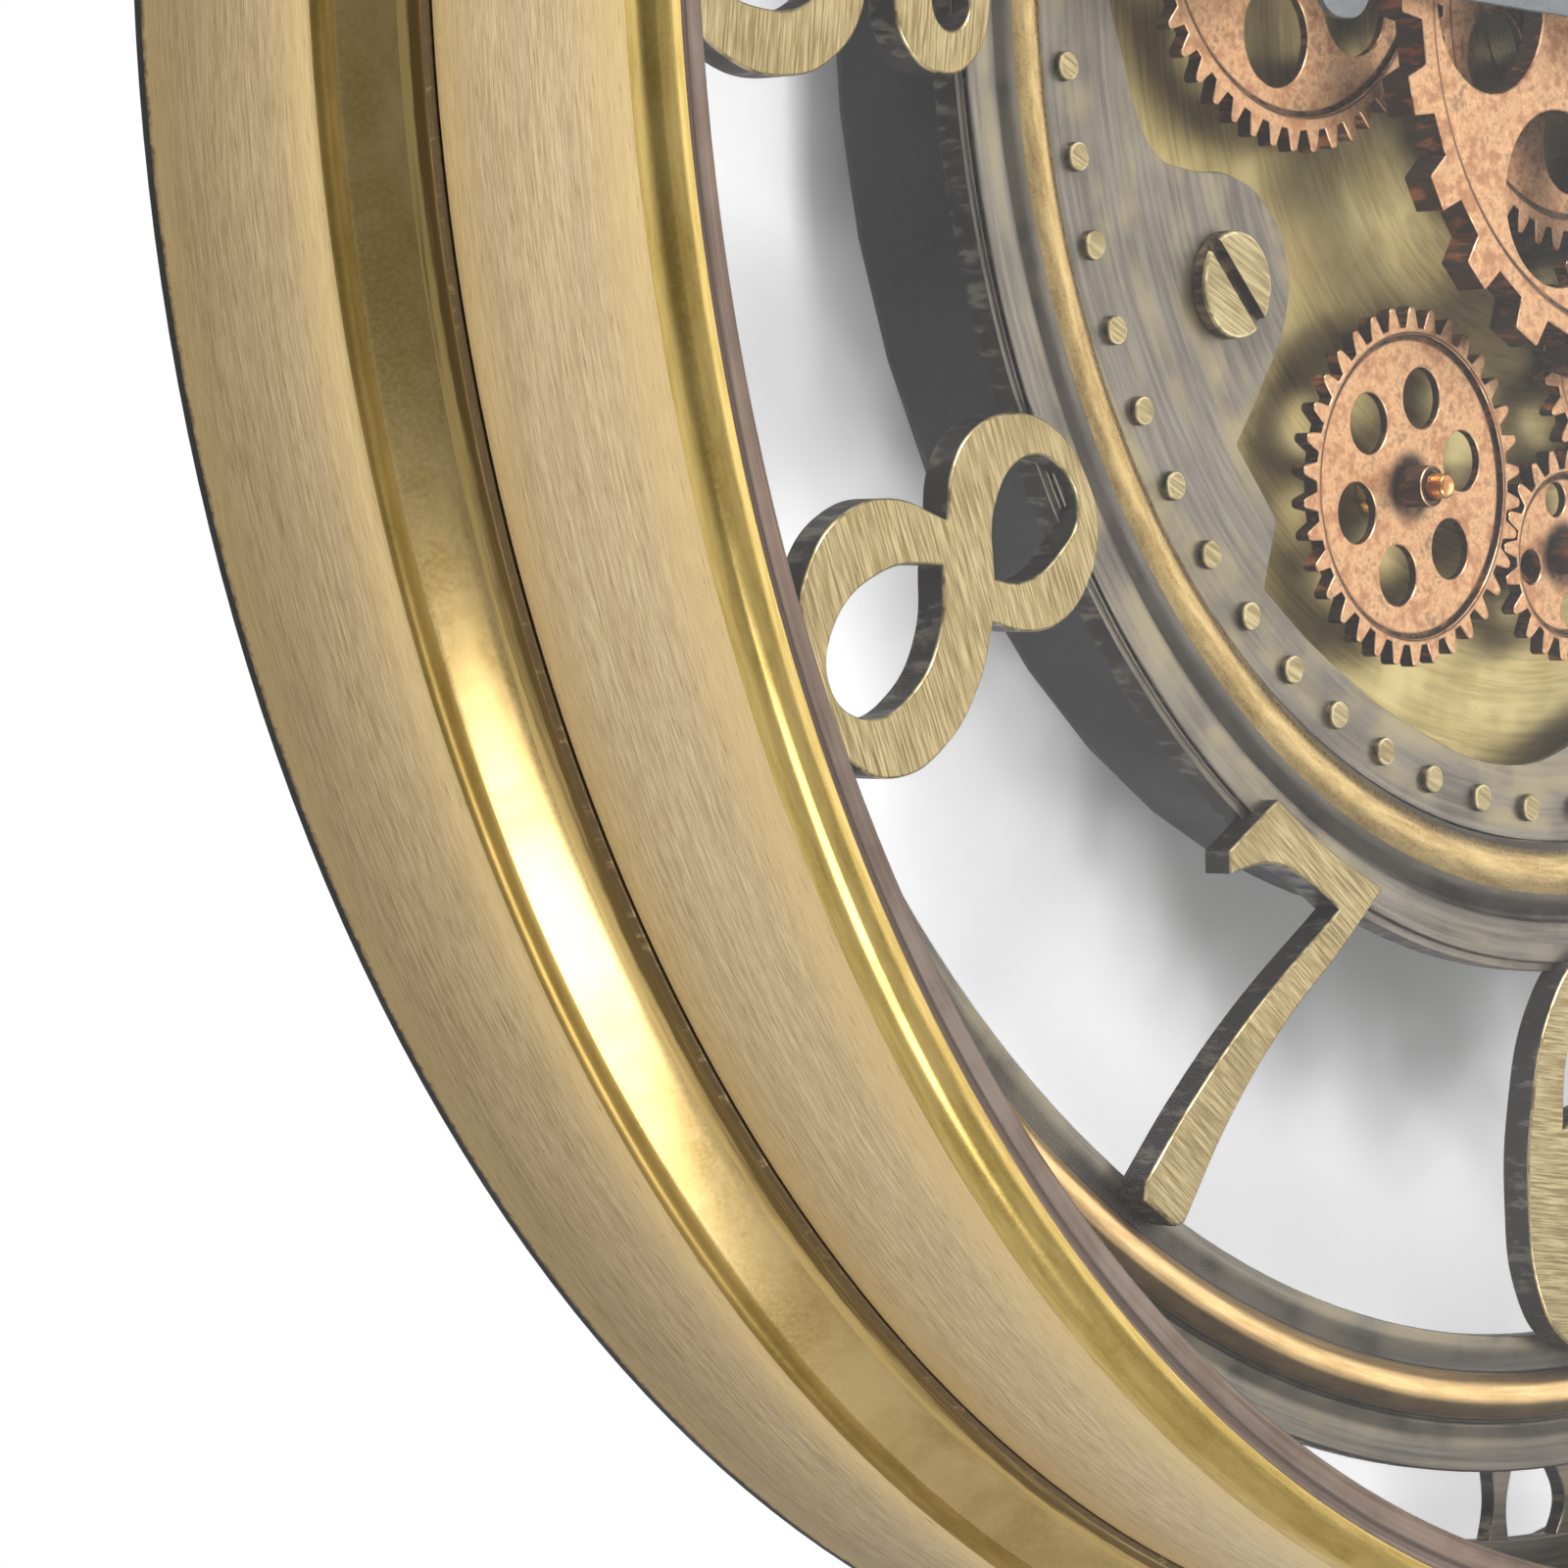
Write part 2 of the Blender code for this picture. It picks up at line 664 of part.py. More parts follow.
FOUR = [
    [
        (-3.5, 74, 1), (8.5, 74, 1), (8.2, 50, 0), (8.5, 29.7, 1), (17.5, 30.4, 1), (18, 20.2, 1),
        (8.8, 19.6, 1), (11, 0.4, 1), (-4.5, 0, 1), (-2.6, 19.2, 1), (-24, 20, 1), (-23.5, 28, 1),
        (-13, 48, 0),
    ],
    [(-2.4, 30.3, 1), (-13, 30, 1), (-7.5, 41, 0), (-2.2, 54, 1)],
]
FIVE = [
    [
        (-13.5, 74, 1), (2, 72.8, 0), (17, 74.6, 1), (14.5, 63.5, 1), (0, 64.2, 0), (-5.5, 64, 1),
        (-7.2, 48.5, 1), (3, 50, 0), (15, 44, 0), (20.5, 28, 0), (16, 9, 0), (3, 0, 0),
        (-12, 2, 0), (-19.5, 11, 0), (-17.8, 19, 0), (-11.5, 20.5, 0), (-7.5, 14, 0), (0.5, 9, 0),
        (8, 14.5, 0), (9.5, 28, 0), (4, 38.5, 0), (-4, 40.5, 0), (-12.5, 35.5, 1), (-17.5, 36, 1),
    ],
]
NOUGHT = [
    [(0, 74, 0), (12, 66, 0), (17, 37, 0), (12, 8, 0), (0, 0, 0), (-12, 8, 0), (-17, 37, 0), (-12, 66, 0)],
    [
        (0, 64, 0), (5.5, 55, 0), (7, 37, 0), (5.5, 19, 0), (0, 10, 0), (-5.5, 19, 0), (-7, 37, 0),
        (-5.5, 55, 0),
    ],
]
SIX = [[(-x, 74 - y, corner) for x, y, corner in outline] for outline in NINE]
NUMERALS = {
    1: [(ONE, 0)],
    2: [(TWO, 0)],
    3: [(THREE, 0)],
    4: [(FOUR, 0)],
    5: [(FIVE, 0)],
    6: [(SIX, 0)],
    7: [(SEVEN, 0)],
    8: [(EIGHT, 0)],
    9: [(NINE, 0)],
    10: [(ONE, -17.5), (NOUGHT, 4.2)],
    11: [(ONE, -8.8), (ONE, 7.4)],
    12: [(ONE, -19), (TWO, 9.5)],
}
INWARD_HEADS = range(4, 9)


def glyph(name, outlines, shift, material=None, collection=clock):
    unit = numeral_unit
    smooth = [[((x + shift) * unit, y * unit, corner) for x, y, corner in points] for points in outlines]
    return flat(name, numeral_low, numeral_top, material, smooth=smooth, collection=collection)


def numerals():
    """Each numeral rests in a step over the inner ring's flange and over the outer ring's."""
    inner_clear = turned(
        "inner_ring_clear",
        [
            (inner_bead_in_r, inner_flange_h + GAP),
            (inner_flange_r + GAP, inner_flange_h + GAP),
            (inner_flange_r + GAP, base_step + GAP),
            (base_step_r + GAP, base_step + GAP),
            (base_step_r + GAP, base_low - OVERCUT),
            (inner_bead_in_r, base_low - OVERCUT),
        ],
        steps=RING_STEPS,
        collection=helpers,
    )
    outer_clear = turned(
        "outer_ring_clear",
        ring(outer_flange_r - GAP, outer_bead_r, dial_h - RING_T - OVERCUT, dial_h + GAP),
        steps=RING_STEPS,
        collection=helpers,
    )
    for number, digits in NUMERALS.items():
        name = f"numeral_{number}"
        outlines, shift = digits[0]
        piece = glyph(name, outlines, shift, OLD_BRASS)
        angle = math.radians(90 - 30 * number)
        inward = number in INWARD_HEADS
        foot = around(numeral_out_r if inward else numeral_in_r, angle)
        tilt = angle + math.radians(90 if inward else -90)
        for outlines, shift in digits[1:]:
            second = glyph(name + "_second", outlines, shift, collection=helpers)
            second.location = (*foot, second.location[2])
            join(piece, turn(second, tilt))
        piece.location = (*foot, piece.location[2])
        turn(piece, tilt)
        cut(piece, inner_clear)
        cut(piece, outer_clear)


# Riveted plate: one lobe from the dial's centre, repeated in each quarter. The rivets' circle is
# at 140 in the same units.
LOBE_RIVETS = 140
LOBE = [
    (-127.3, -3, 0), (-123.8, -12.5, 0), (-120.5, -21.5, 0), (-115.5, -28, 0), (-107, -30.2, 0),
    (-96, -30.8, 0), (-86.5, -35.6, 0), (-81, -45, 0), (-82, -55, 0), (-88.3, -65.5, 0),
    (-95.5, -75.5, 1), (-85, -88, 1), (-88.6, -99.6, 1), (-74.5, -109.8, 0), (-49, -123.4, 0),
    (-17, -131.6, 0),
]


def turned_quarter(points, quarter):
    c = round(math.cos(quarter * math.pi / 2))
    s = round(math.sin(quarter * math.pi / 2))
    unit = rivet_circle_r / LOBE_RIVETS
    return [((x * c - y * s) * unit, (x * s + y * c) * unit, corner) for x, y, corner in points]


def rivet_plate():
    inside = [point for quarter in range(4) for point in turned_quarter(LOBE, quarter)]
    plate_r = inner_bead_in_r - GAP
    plate = flat(
        "rivet_plate", rivet_plate_low, rivet_plate_top, GUNMETAL,
        corners=[circle(plate_r, steps=RING_STEPS)], smooth=[inside],
    )
    depth = RIVET_H + RIVET_PLATE_T / 2
    height = rivet_plate_top + RIVET_H - depth / 2
    rivet_mesh = bpy.data.meshes.new("rivets")
    rivets = bmesh.new()
    for i in range(RIVETS):
        angle = 2 * math.pi * i / RIVETS
        stud = bmesh.ops.create_cone(
            rivets, cap_ends=True, segments=6, radius1=RIVET_R, radius2=RIVET_R, depth=depth
        )
        bmesh.ops.translate(rivets, verts=stud["verts"], vec=(*around(rivet_circle_r, angle), height))
    rivets.to_mesh(rivet_mesh)
    rivets.free()
    join(plate, add("rivets", rivet_mesh, collection=helpers))
    head_low = rivet_plate_top + GAP
    head_top = head_low + SCREW_HEAD_H
    shank_end = back_plate_low - SCREW_END
    for quarter in range(4):
        x, y, _ = turned_quarter([SCREW_PLACE], quarter)[0]
        hole = turned(
            f"screw_hole_{quarter + 1}", disc(SCREW_SHANK_R + GAP, back_plate_low - OVERCUT, head_low),
            centre=(x, y, 0), steps=SMALL_STEPS, collection=helpers,
        )
        cut(plate, hole)
        screw = turned(
            f"plate_screw_{quarter + 1}",
            [
                (0, head_top), (SCREW_HEAD_R - SCREW_EDGE, head_top), (SCREW_HEAD_R, head_top - SCREW_EDGE),
                (SCREW_HEAD_R, head_low), (SCREW_SHANK_R, head_low), (SCREW_SHANK_R, shank_end),
                (0, shank_end),
            ],
            OLD_BRASS, centre=(x, y, 0), steps=SMALL_STEPS,
        )
        half_slot = SLOT_W / 2
        groove = flat(
            f"screw_slot_{quarter + 1}", head_top - SLOT_DEPTH, head_top + OVERCUT,
            corners=[rectangle(-SCREW_HEAD_R * 1.2, SCREW_HEAD_R * 1.2, -half_slot, half_slot)],
            centre=(x, y), collection=helpers,
        )
        cut(screw, turn(groove, SLOT_TURN + quarter * math.pi / 2))


# Movement drum: back plate, wall and rear cover
def pinion_place():
    return around(pitch_r(LOWER_LEFT_TEETH) + pitch_r(PINION_TEETH), PINION_TURN, upper_right)


def drive_corner():
    """The lower left corner of the drive box, from its pinion."""
    x, y = pinion_place()
    return x + PINION_FROM_MOTOR - motor_from_left, y - PINION_FROM_BOTTOM


def back_plate():
    plate_r = drum_r - DRUM_WALL - GAP
    holes = [circle(SHAFT_TUBE_R + GAP), circle(PINION_SHAFT_R + GAP, pinion_place(), SMALL_STEPS)]
    for quarter in range(4):
        x, y, _ = turned_quarter([SCREW_PLACE], quarter)[0]
        holes.append(circle(SCREW_SHANK_R + GAP, (x, y), SMALL_STEPS))
    flat(
        "back_plate", back_plate_low, back_plate_top, OLD_BRASS,
        corners=[circle(plate_r, steps=RING_STEPS)] + holes,
    )


def drum():
    wall = drum_r - DRUM_WALL
    turned(
        "movement_drum",
        [
            (wall, drum_top), (drum_r, drum_top), (drum_r, drum_low), (wall, drum_low),
            (wall, ledge_top - DRUM_LEDGE_T), (wall - DRUM_LEDGE_W, ledge_top - DRUM_LEDGE_T),
            (wall - DRUM_LEDGE_W, ledge_top), (wall, ledge_top),
        ],
        CHARCOAL,
        steps=RING_STEPS,
    )
    bay_left, bay_right, bay_bottom, bay_top = battery_bay()
    half_cell = CELL_L / 2 + CELL_NUB_L + CELL_ROOM
    cell_bay = CELL_R + CELL_ROOM
    switch_x, switch_y = switch_place()
    flat(
        "back_cover", COVER_H, COVER_H + COVER_T, CHARCOAL,
        corners=[
            circle(drum_r - GAP, steps=RING_STEPS),
            rectangle(bay_left, bay_right, bay_bottom, bay_top),
            rectangle(-half_cell, half_cell, QUARTZ_CELL_Y - cell_bay, QUARTZ_CELL_Y + cell_bay),
            circle(KNOB_R + KNOB_ROOM, (KNOB_X, KNOB_Y)),
            rectangle(
                switch_x - SWITCH_W / 2 - GAP, switch_x + SWITCH_W / 2 + GAP,
                switch_y - SWITCH_L / 2 - GAP, switch_y + SWITCH_L / 2 + SWITCH_TRAVEL + GAP,
            ),
        ],
    )


# Gears
def pitch_r(teeth):
    return MODULE * teeth / 2


def gear_outline(teeth, turn_by):
    """A fine gear's teeth, thin enough to run with play, with one tooth at turn_by."""
    pitch = 2 * math.pi / teeth
    root = pitch_r(teeth) - DEDENDUM
    tip = pitch_r(teeth) + ADDENDUM
    points = []
    for i in range(teeth):
        middle = turn_by + i * pitch
        for radius, share in ((root, -ROOT_SHARE), (tip, -TIP_SHARE), (tip, TIP_SHARE), (root, ROOT_SHARE)):
            points.append(around(radius, middle + share * pitch))
    return points


def fine_gear(name, teeth, turn_by, centre, bore_r, holes, hub_r=HUB_R, hub_low=None, hub_high=None):
    """A fine gear: a toothed rim, a web with holes, and a hub."""
    gear = flat(
        name, fine_low, fine_top, COPPER,
        corners=[gear_outline(teeth, turn_by), circle(bore_r, steps=SMALL_STEPS)] + holes, centre=centre,
    )
    hub = turned(
        name + "_hub", ring(bore_r, hub_r, hub_low, hub_high),
        centre=(*centre, 0), steps=SMALL_STEPS, collection=helpers,
    )
    return join(gear, hub)


def round_holes(count, hole_circle, radius, turn_by, steps):
    places = [around(hole_circle * MODULE, turn_by + 2 * math.pi * i / count) for i in range(count)]
    return [circle(radius * MODULE, place, steps) for place in places]


def mesh_turn(first_teeth, first_turn, second_teeth, direction):
    """The turn that puts a gap of the second gear over a tooth of the first, met in this direction."""
    first_pitch = 2 * math.pi / first_teeth
    second_pitch = 2 * math.pi / second_teeth
    phase = ((direction - first_turn) / first_pitch) % 1
    return direction + math.pi + (phase + 0.5) * second_pitch


def post(name, centre, rise):
    """A gear's fixed post: a foot on the back plate and a bright domed tip in front."""
    foot = back_plate_top + GAP
    top = fine_top + rise
    turned(
        name,
        [
            (0, top), (POST_R * 0.6, top - 0.0003), (POST_R, top - 0.0012), (POST_R, foot + POST_FOOT_T),
            (POST_FOOT_R, foot + POST_FOOT_T), (POST_FOOT_R, foot), (0, foot),
        ],
        BRIGHT_BRASS, centre=(*centre, 0), steps=SMALL_STEPS,
    )


left = around(pitch_r(CENTRE_TEETH) + pitch_r(LEFT_TEETH), LEFT_TURN)
idler = around(pitch_r(CENTRE_TEETH) + pitch_r(IDLER_TEETH), IDLER_TURN)
top_idler = around(pitch_r(CENTRE_TEETH) + pitch_r(IDLER_TEETH), TOP_TURN)
upper_right = around(pitch_r(CENTRE_TEETH) + pitch_r(LOWER_LEFT_TEETH), UPPER_RIGHT_TURN)
right = around(pitch_r(CENTRE_TEETH) + pitch_r(LEFT_TEETH), RIGHT_TURN)
bottom = around(pitch_r(IDLER_TEETH) + pitch_r(BOTTOM_TEETH), BOTTOM_TURN, idler)
lower_left = around(pitch_r(BOTTOM_TEETH) + pitch_r(LOWER_LEFT_TEETH), LOWER_LEFT_TURN, bottom)


def posted_gear(name, teeth, turn_by, centre, holes, rise=POST_RISE):
    hub_low = back_plate_top + GAP + POST_FOOT_T + GAP
    fine_gear(name, teeth, turn_by, centre, POST_R + RUNNING, holes, HUB_R, hub_low, fine_top + HUB_RISE)
    post(name.replace("_gear", "_post"), centre, rise)


def gears():
    large_windows = round_holes(*LARGE_WINDOWS)
    six_holes = round_holes(*MIDDLE_HOLES)
    bottom_holes = round_holes(*BOTTOM_HOLES)
    idler_holes = round_holes(*IDLER_HOLES)

    left_turn = mesh_turn(CENTRE_TEETH, CENTRE_TURN, LEFT_TEETH, LEFT_TURN)
    posted_gear("left_gear", LEFT_TEETH, left_turn, left, large_windows)
    idler_turn = mesh_turn(CENTRE_TEETH, CENTRE_TURN, IDLER_TEETH, IDLER_TURN)
    posted_gear("lower_idler_gear", IDLER_TEETH, idler_turn, idler, idler_holes, IDLER_POST_RISE)
    bottom_turn = mesh_turn(IDLER_TEETH, idler_turn, BOTTOM_TEETH, BOTTOM_TURN)
    posted_gear("bottom_gear", BOTTOM_TEETH, bottom_turn, bottom, bottom_holes)
    lower_left_turn = mesh_turn(BOTTOM_TEETH, bottom_turn, LOWER_LEFT_TEETH, LOWER_LEFT_TURN)
    posted_gear("lower_left_gear", LOWER_LEFT_TEETH, lower_left_turn, lower_left, six_holes)
    top_turn = mesh_turn(CENTRE_TEETH, CENTRE_TURN, IDLER_TEETH, TOP_TURN)
    posted_gear("top_gear", IDLER_TEETH, top_turn, top_idler, idler_holes, IDLER_POST_RISE)
    upper_turn = mesh_turn(CENTRE_TEETH, CENTRE_TURN, LOWER_LEFT_TEETH, UPPER_RIGHT_TURN)
    posted_gear("upper_right_gear", LOWER_LEFT_TEETH, upper_turn, upper_right, six_holes)
    right_turn = mesh_turn(CENTRE_TEETH, CENTRE_TURN, LEFT_TEETH, RIGHT_TURN)
    posted_gear("right_gear", LEFT_TEETH, right_turn, right, large_windows)

    pinion_turn = mesh_turn(LOWER_LEFT_TEETH, upper_turn, PINION_TEETH, PINION_TURN)
    place = pinion_place()
    pinion = flat(
        "drive_pinion", fine_low, fine_top, BRIGHT_BRASS,
        corners=[gear_outline(PINION_TEETH, pinion_turn)], centre=place,
    )
    shaft = turned(
        "pinion_shaft", disc(PINION_SHAFT_R, box_front - SHAFT_IN_MOTOR, fine_top + PINION_SHAFT_PROUD),
        centre=(*place, 0), steps=SMALL_STEPS, collection=helpers,
    )
    join(pinion, shaft)


def centre_wheels():
    bore = BUSH_R + RUNNING
    fine_gear(
        "centre_fine_gear", CENTRE_TEETH, CENTRE_TURN, (0, 0), bore, round_holes(*CENTRE_WINDOWS),
        BOSS_R, fine_low, coarse_low - GAP,
    )
    pitch = 2 * math.pi / COARSE_TEETH
    teeth = []
    for i in range(COARSE_TEETH):
        middle = COARSE_TURN + i * pitch
        teeth.append(around(COARSE_ROOT_R, middle - COARSE_ROOT_SHARE * pitch))
        teeth.append(around(COARSE_TIP_R, middle - COARSE_TIP_SHARE * pitch))
        teeth.append(around(COARSE_TIP_R, middle + COARSE_TIP_SHARE * pitch))
        teeth.append(around(COARSE_ROOT_R, middle + COARSE_ROOT_SHARE * pitch))
    wheel = flat(
        "centre_coarse_gear", coarse_low, coarse_top, COPPER,
        corners=[teeth, circle(bore)] + round_holes(*COARSE_WINDOWS),
    )
    boss_profile = ring(bore, BOSS_R, coarse_low + 0.001, boss_top)
    boss = turned("coarse_boss", boss_profile, collection=helpers)
    join(wheel, boss)
    web_step = ring(COARSE_WEB_IN_R, COARSE_WEB_OUT_R, coarse_top - RECESS, coarse_top + OVERCUT)
    cut(wheel, turned("coarse_step", web_step, steps=24, collection=helpers))


# Centre line and hands
def centre_line():
    tube_r = SHAFT_TUBE_R + GAP
    foot = back_plate_top + GAP
    flange_top = fine_low - GAP
    turned(
        "centre_bush",
        [
            (tube_r, bush_top), (BUSH_R, bush_top), (BUSH_R, flange_top),
            (BUSH_FLANGE_R, flange_top), (BUSH_FLANGE_R, foot), (tube_r, foot),
        ],
        STEEL,
    )
    hexagon = [around(NUT_R, math.radians(60 * i)) for i in range(6)]
    flat("movement_nut", nut_low, nut_low + NUT_T, BRIGHT_BRASS, corners=[hexagon, circle(tube_r)])


def hand(name, sizes, hole_r, low, turn_by):
    """A flat hand along X: a hub, a straight arm, a round disc and a spear tip."""
    length, disc_at, disc_r, half_width, tip_half, hub_r = sizes
    neck = disc_at - disc_r * 0.86
    shoulder = disc_at + disc_r * 0.86
    hub_join = hub_r * 0.9
    outline = [
        (hub_join, half_width, 1), (neck, half_width * 0.9, 1), (disc_at - disc_r * 0.5, disc_r * 0.87, 0),
        (disc_at, disc_r, 0), (disc_at + disc_r * 0.5, disc_r * 0.87, 0), (shoulder, half_width * 0.8, 1),
        (shoulder + tip_half * 1.6, tip_half, 0), (length, HAND_POINT, 1),
        (length, -HAND_POINT, 1), (shoulder + tip_half * 1.6, -tip_half, 0), (shoulder, -half_width * 0.8, 1),
        (disc_at + disc_r * 0.5, -disc_r * 0.87, 0), (disc_at, -disc_r, 0),
        (disc_at - disc_r * 0.5, -disc_r * 0.87, 0), (neck, -half_width * 0.9, 1), (hub_join, -half_width, 1),
        (0, -hub_r, 0), (-hub_r, 0, 0), (0, hub_r, 0),
    ]
    holes = [circle(hole_r)] if hole_r else []
    piece = flat(name, low, low + HAND_T, HAND_GREY, corners=holes, smooth=[outline])
    return turn(piece, turn_by)


def hands():
    hour = hand("hour_hand", HOUR_SIZES, HOUR_PIPE_BORE, hour_low, HOUR_TURN)
    pipe = turned(
        "hour_pipe", ring(HOUR_PIPE_BORE, HOUR_PIPE_R, tube_top - SHAFT_DEPTH, hour_low + HAND_T / 2),
        collection=helpers,
    )
    join(hour, pipe)
    minute = hand("minute_hand", MINUTE_SIZES, 0, minute_low, MINUTE_TURN)
    shaft_top = cap_low + HAND_CAP_H / 2
    shaft = turned(
        "minute_shaft", disc(MINUTE_SHAFT_R, tube_top - SHAFT_DEPTH, shaft_top), collection=helpers,
    )
    join(minute, shaft)
    bore = MINUTE_SHAFT_R + GAP
    cap_top = cap_low + HAND_CAP_H
    turned(
        "hand_cap",
        [
            (0, cap_top), (HAND_CAP_R * 0.55, cap_top - 0.0004), (HAND_CAP_R * 0.9, cap_top - 0.0014),
            (HAND_CAP_R, cap_low), (bore, cap_low), (bore, shaft_top + GAP), (0, shaft_top + GAP),
        ],
        BRIGHT_BRASS,
    )


def cell(name, x, y, height):
    """A round cell lying along X, with its nub to the right."""
    half = CELL_L / 2
    obj = turned(
        name,
        [
            (0, half + CELL_NUB_L), (CELL_NUB_R, half + CELL_NUB_L), (CELL_NUB_R, half),
            (CELL_R - 0.0005, half), (CELL_R, half - 0.0005), (CELL_R, -half), (0, -half),
        ],
        CELL_WRAP, centre=(x, y, height), steps=SMALL_STEPS,
    )
    obj.rotation_euler = (0, math.radians(90), 0)


def quartz_movement():
    half = QUARTZ_W / 2
    low = box_front - QUARTZ_T
    body = flat(
        "quartz_movement", low, box_front, BLACK_PLASTIC,
        corners=[rectangle(-half, half, QUARTZ_TOP - QUARTZ_W, QUARTZ_TOP)],
    )
    tube = turned(
        "shaft_tube",
        [
            (0, tube_top - SHAFT_DEPTH - 0.001), (SHAFT_TUBE_BORE, tube_top - SHAFT_DEPTH - 0.001),
            (SHAFT_TUBE_BORE, tube_top), (SHAFT_TUBE_R, tube_top), (SHAFT_TUBE_R, box_front - 0.002),
            (0, box_front - 0.002),
        ],
        collection=helpers,
    )
    join(body, tube)
    half_cell = CELL_L / 2 + CELL_NUB_L + CELL_ROOM
    cell_bay = CELL_R + CELL_ROOM
    bay_floor = box_front - QUARTZ_FRONT_T
    bay = flat(
        "quartz_bay", low - OVERCUT, bay_floor,
        corners=[rectangle(-half_cell, half_cell, QUARTZ_CELL_Y - cell_bay, QUARTZ_CELL_Y + cell_bay)],
        collection=helpers,
    )
    cut(body, bay)
    stem_hole = turned(
        "stem_hole", disc(KNOB_STEM_R + RUNNING, low - OVERCUT, low + KNOB_STEM_L + GAP),
        centre=(KNOB_X, KNOB_Y, 0), steps=SMALL_STEPS, collection=helpers,
    )
    cut(body, stem_hole)
    cell("quartz_cell", 0, QUARTZ_CELL_Y, bay_floor - GAP - CELL_R)
    knob_top = low - GAP
    knob = turned(
        "setting_knob",
        [
            (0, low + KNOB_STEM_L), (KNOB_STEM_R, low + KNOB_STEM_L), (KNOB_STEM_R, knob_top),
            (KNOB_R, knob_top), (KNOB_R, knob_top - KNOB_T), (0, knob_top - KNOB_T),
        ],
        PALE_PLASTIC, centre=(KNOB_X, KNOB_Y, 0),
    )
    notch = flat(
        "knob_notch", knob_top - KNOB_T - OVERCUT, knob_top - KNOB_T + KNOB_NOTCH_DEPTH,
        corners=[rectangle(-KNOB_R * 1.2, KNOB_R * 1.2, -KNOB_NOTCH_W / 2, KNOB_NOTCH_W / 2)],
        centre=(KNOB_X, KNOB_Y), collection=helpers,
    )
    cut(knob, notch)


# Drive box
def battery_bay():
    """Left, right, bottom and top of the space for the two cells."""
    box_left, box_bottom = drive_corner()
    left_side = box_left + DRIVE_WALL
    return left_side, left_side + cell_bay_w, box_bottom + DRIVE_WALL, box_bottom + drive_tall - DRIVE_WALL


def switch_place():
    """The middle of the switch, behind the motor."""
    box_left, box_bottom = drive_corner()
    return box_left + motor_from_left, box_bottom + SWITCH_FROM_BOTTOM


def drive_box():
    low = drum_low
    box_left, box_bottom = drive_corner()
    body = flat(
        "drive_box", low, box_front, BLACK_PLASTIC,
        corners=[rectangle(box_left, box_left + drive_w, box_bottom, box_bottom + drive_tall)],
    )
    bay_left, bay_right, bay_bottom, bay_top = battery_bay()
    bay = flat(
        "cell_bay", low - OVERCUT, box_front - DRIVE_WALL,
        corners=[rectangle(bay_left, bay_right, bay_bottom, bay_top)], collection=helpers,
    )
    cut(body, bay)
    motor_left = bay_right + DRIVE_WALL
    motor_right = motor_left + MOTOR_BAY_W
    motor_bay = flat(
        "motor_bay", low + DRIVE_WALL, box_front + OVERCUT,
        corners=[rectangle(motor_left, motor_right, bay_bottom, bay_top)], collection=helpers,
    )
    cut(body, motor_bay)
    switch_x, switch_y = switch_place()
    slot_half = SWITCH_W / 2 + GAP
    slot_bottom = switch_y - SWITCH_L / 2 - GAP
    slot_top = switch_y + SWITCH_L / 2 + SWITCH_TRAVEL + GAP
    slot = flat(
        "switch_slot", low - OVERCUT, low + DRIVE_WALL + OVERCUT,
        corners=[rectangle(switch_x - slot_half, switch_x + slot_half, slot_bottom, slot_top)],
        collection=helpers,
    )
    cut(body, slot)
    motor = flat(
        "gear_motor", box_front - GAP - MOTOR_T, box_front - GAP, STEEL,
        corners=[rectangle(motor_left + GAP, motor_right - GAP, bay_bottom + MOTOR_LIFT, bay_top - GAP)],
    )
    bore_end = box_front - SHAFT_IN_MOTOR - OVERCUT
    shaft_bore = turned(
        "motor_bore", disc(PINION_SHAFT_R + RUNNING, bore_end, box_front + OVERCUT),
        centre=(*pinion_place(), 0), steps=SMALL_STEPS, collection=helpers,
    )
    cut(motor, shaft_bore)
    middle_y = (bay_bottom + bay_top) / 2
    middle_x = (bay_left + bay_right) / 2
    for number, side in ((1, -1), (2, 1)):
        height = box_front - DRIVE_WALL - GAP - CELL_R
        cell(f"drive_cell_{number}", middle_x, middle_y + side * CELL_PITCH / 2, height)
    half_w = SWITCH_W / 2
    half_l = SWITCH_L / 2
    shoe_low = low + DRIVE_WALL + GAP
    slider = flat(
        "switch_slider", COVER_H - SWITCH_PROUD, shoe_low + SWITCH_SHOE_T / 2, PALE_PLASTIC,
        corners=[rectangle(-half_w, half_w, -half_l, half_l)], centre=(switch_x, switch_y),
    )
    shoe_w = half_w + SWITCH_LAP
    shoe_l = half_l + SWITCH_LAP
    shoe = flat(
        "switch_shoe", shoe_low, shoe_low + SWITCH_SHOE_T,
        corners=[rectangle(-shoe_w, shoe_w, -shoe_l, shoe_l)],
        centre=(switch_x, switch_y), collection=helpers,
    )
    join(slider, shoe)


def battery_cover():
    """The sliding cover over the drive cells, with ridges for a thumb."""
    bay_left, bay_right, bay_bottom, bay_top = battery_bay()
    lap = BATTERY_COVER_LAP
    top = COVER_H - GAP
    cover = flat(
        "battery_cover", top - BATTERY_COVER_T, top, BLACK_PLASTIC,
        corners=[rectangle(bay_left - lap, bay_right + lap, bay_bottom - lap, bay_top + lap)],
    )
    middle_y = (bay_bottom + bay_top) / 2
    for i in range(GRIP_RIDGES):
        x = bay_left + RIDGE_PITCH * (i + 2)
        ridge = flat(
            f"grip_ridge_{i + 1}", top - BATTERY_COVER_T - RIDGE_H, top - BATTERY_COVER_T / 2,
            corners=[rectangle(x, x + RIDGE_W, middle_y - RIDGE_L / 2, middle_y + RIDGE_L / 2)],
            collection=helpers,
        )
        join(cover, ridge)


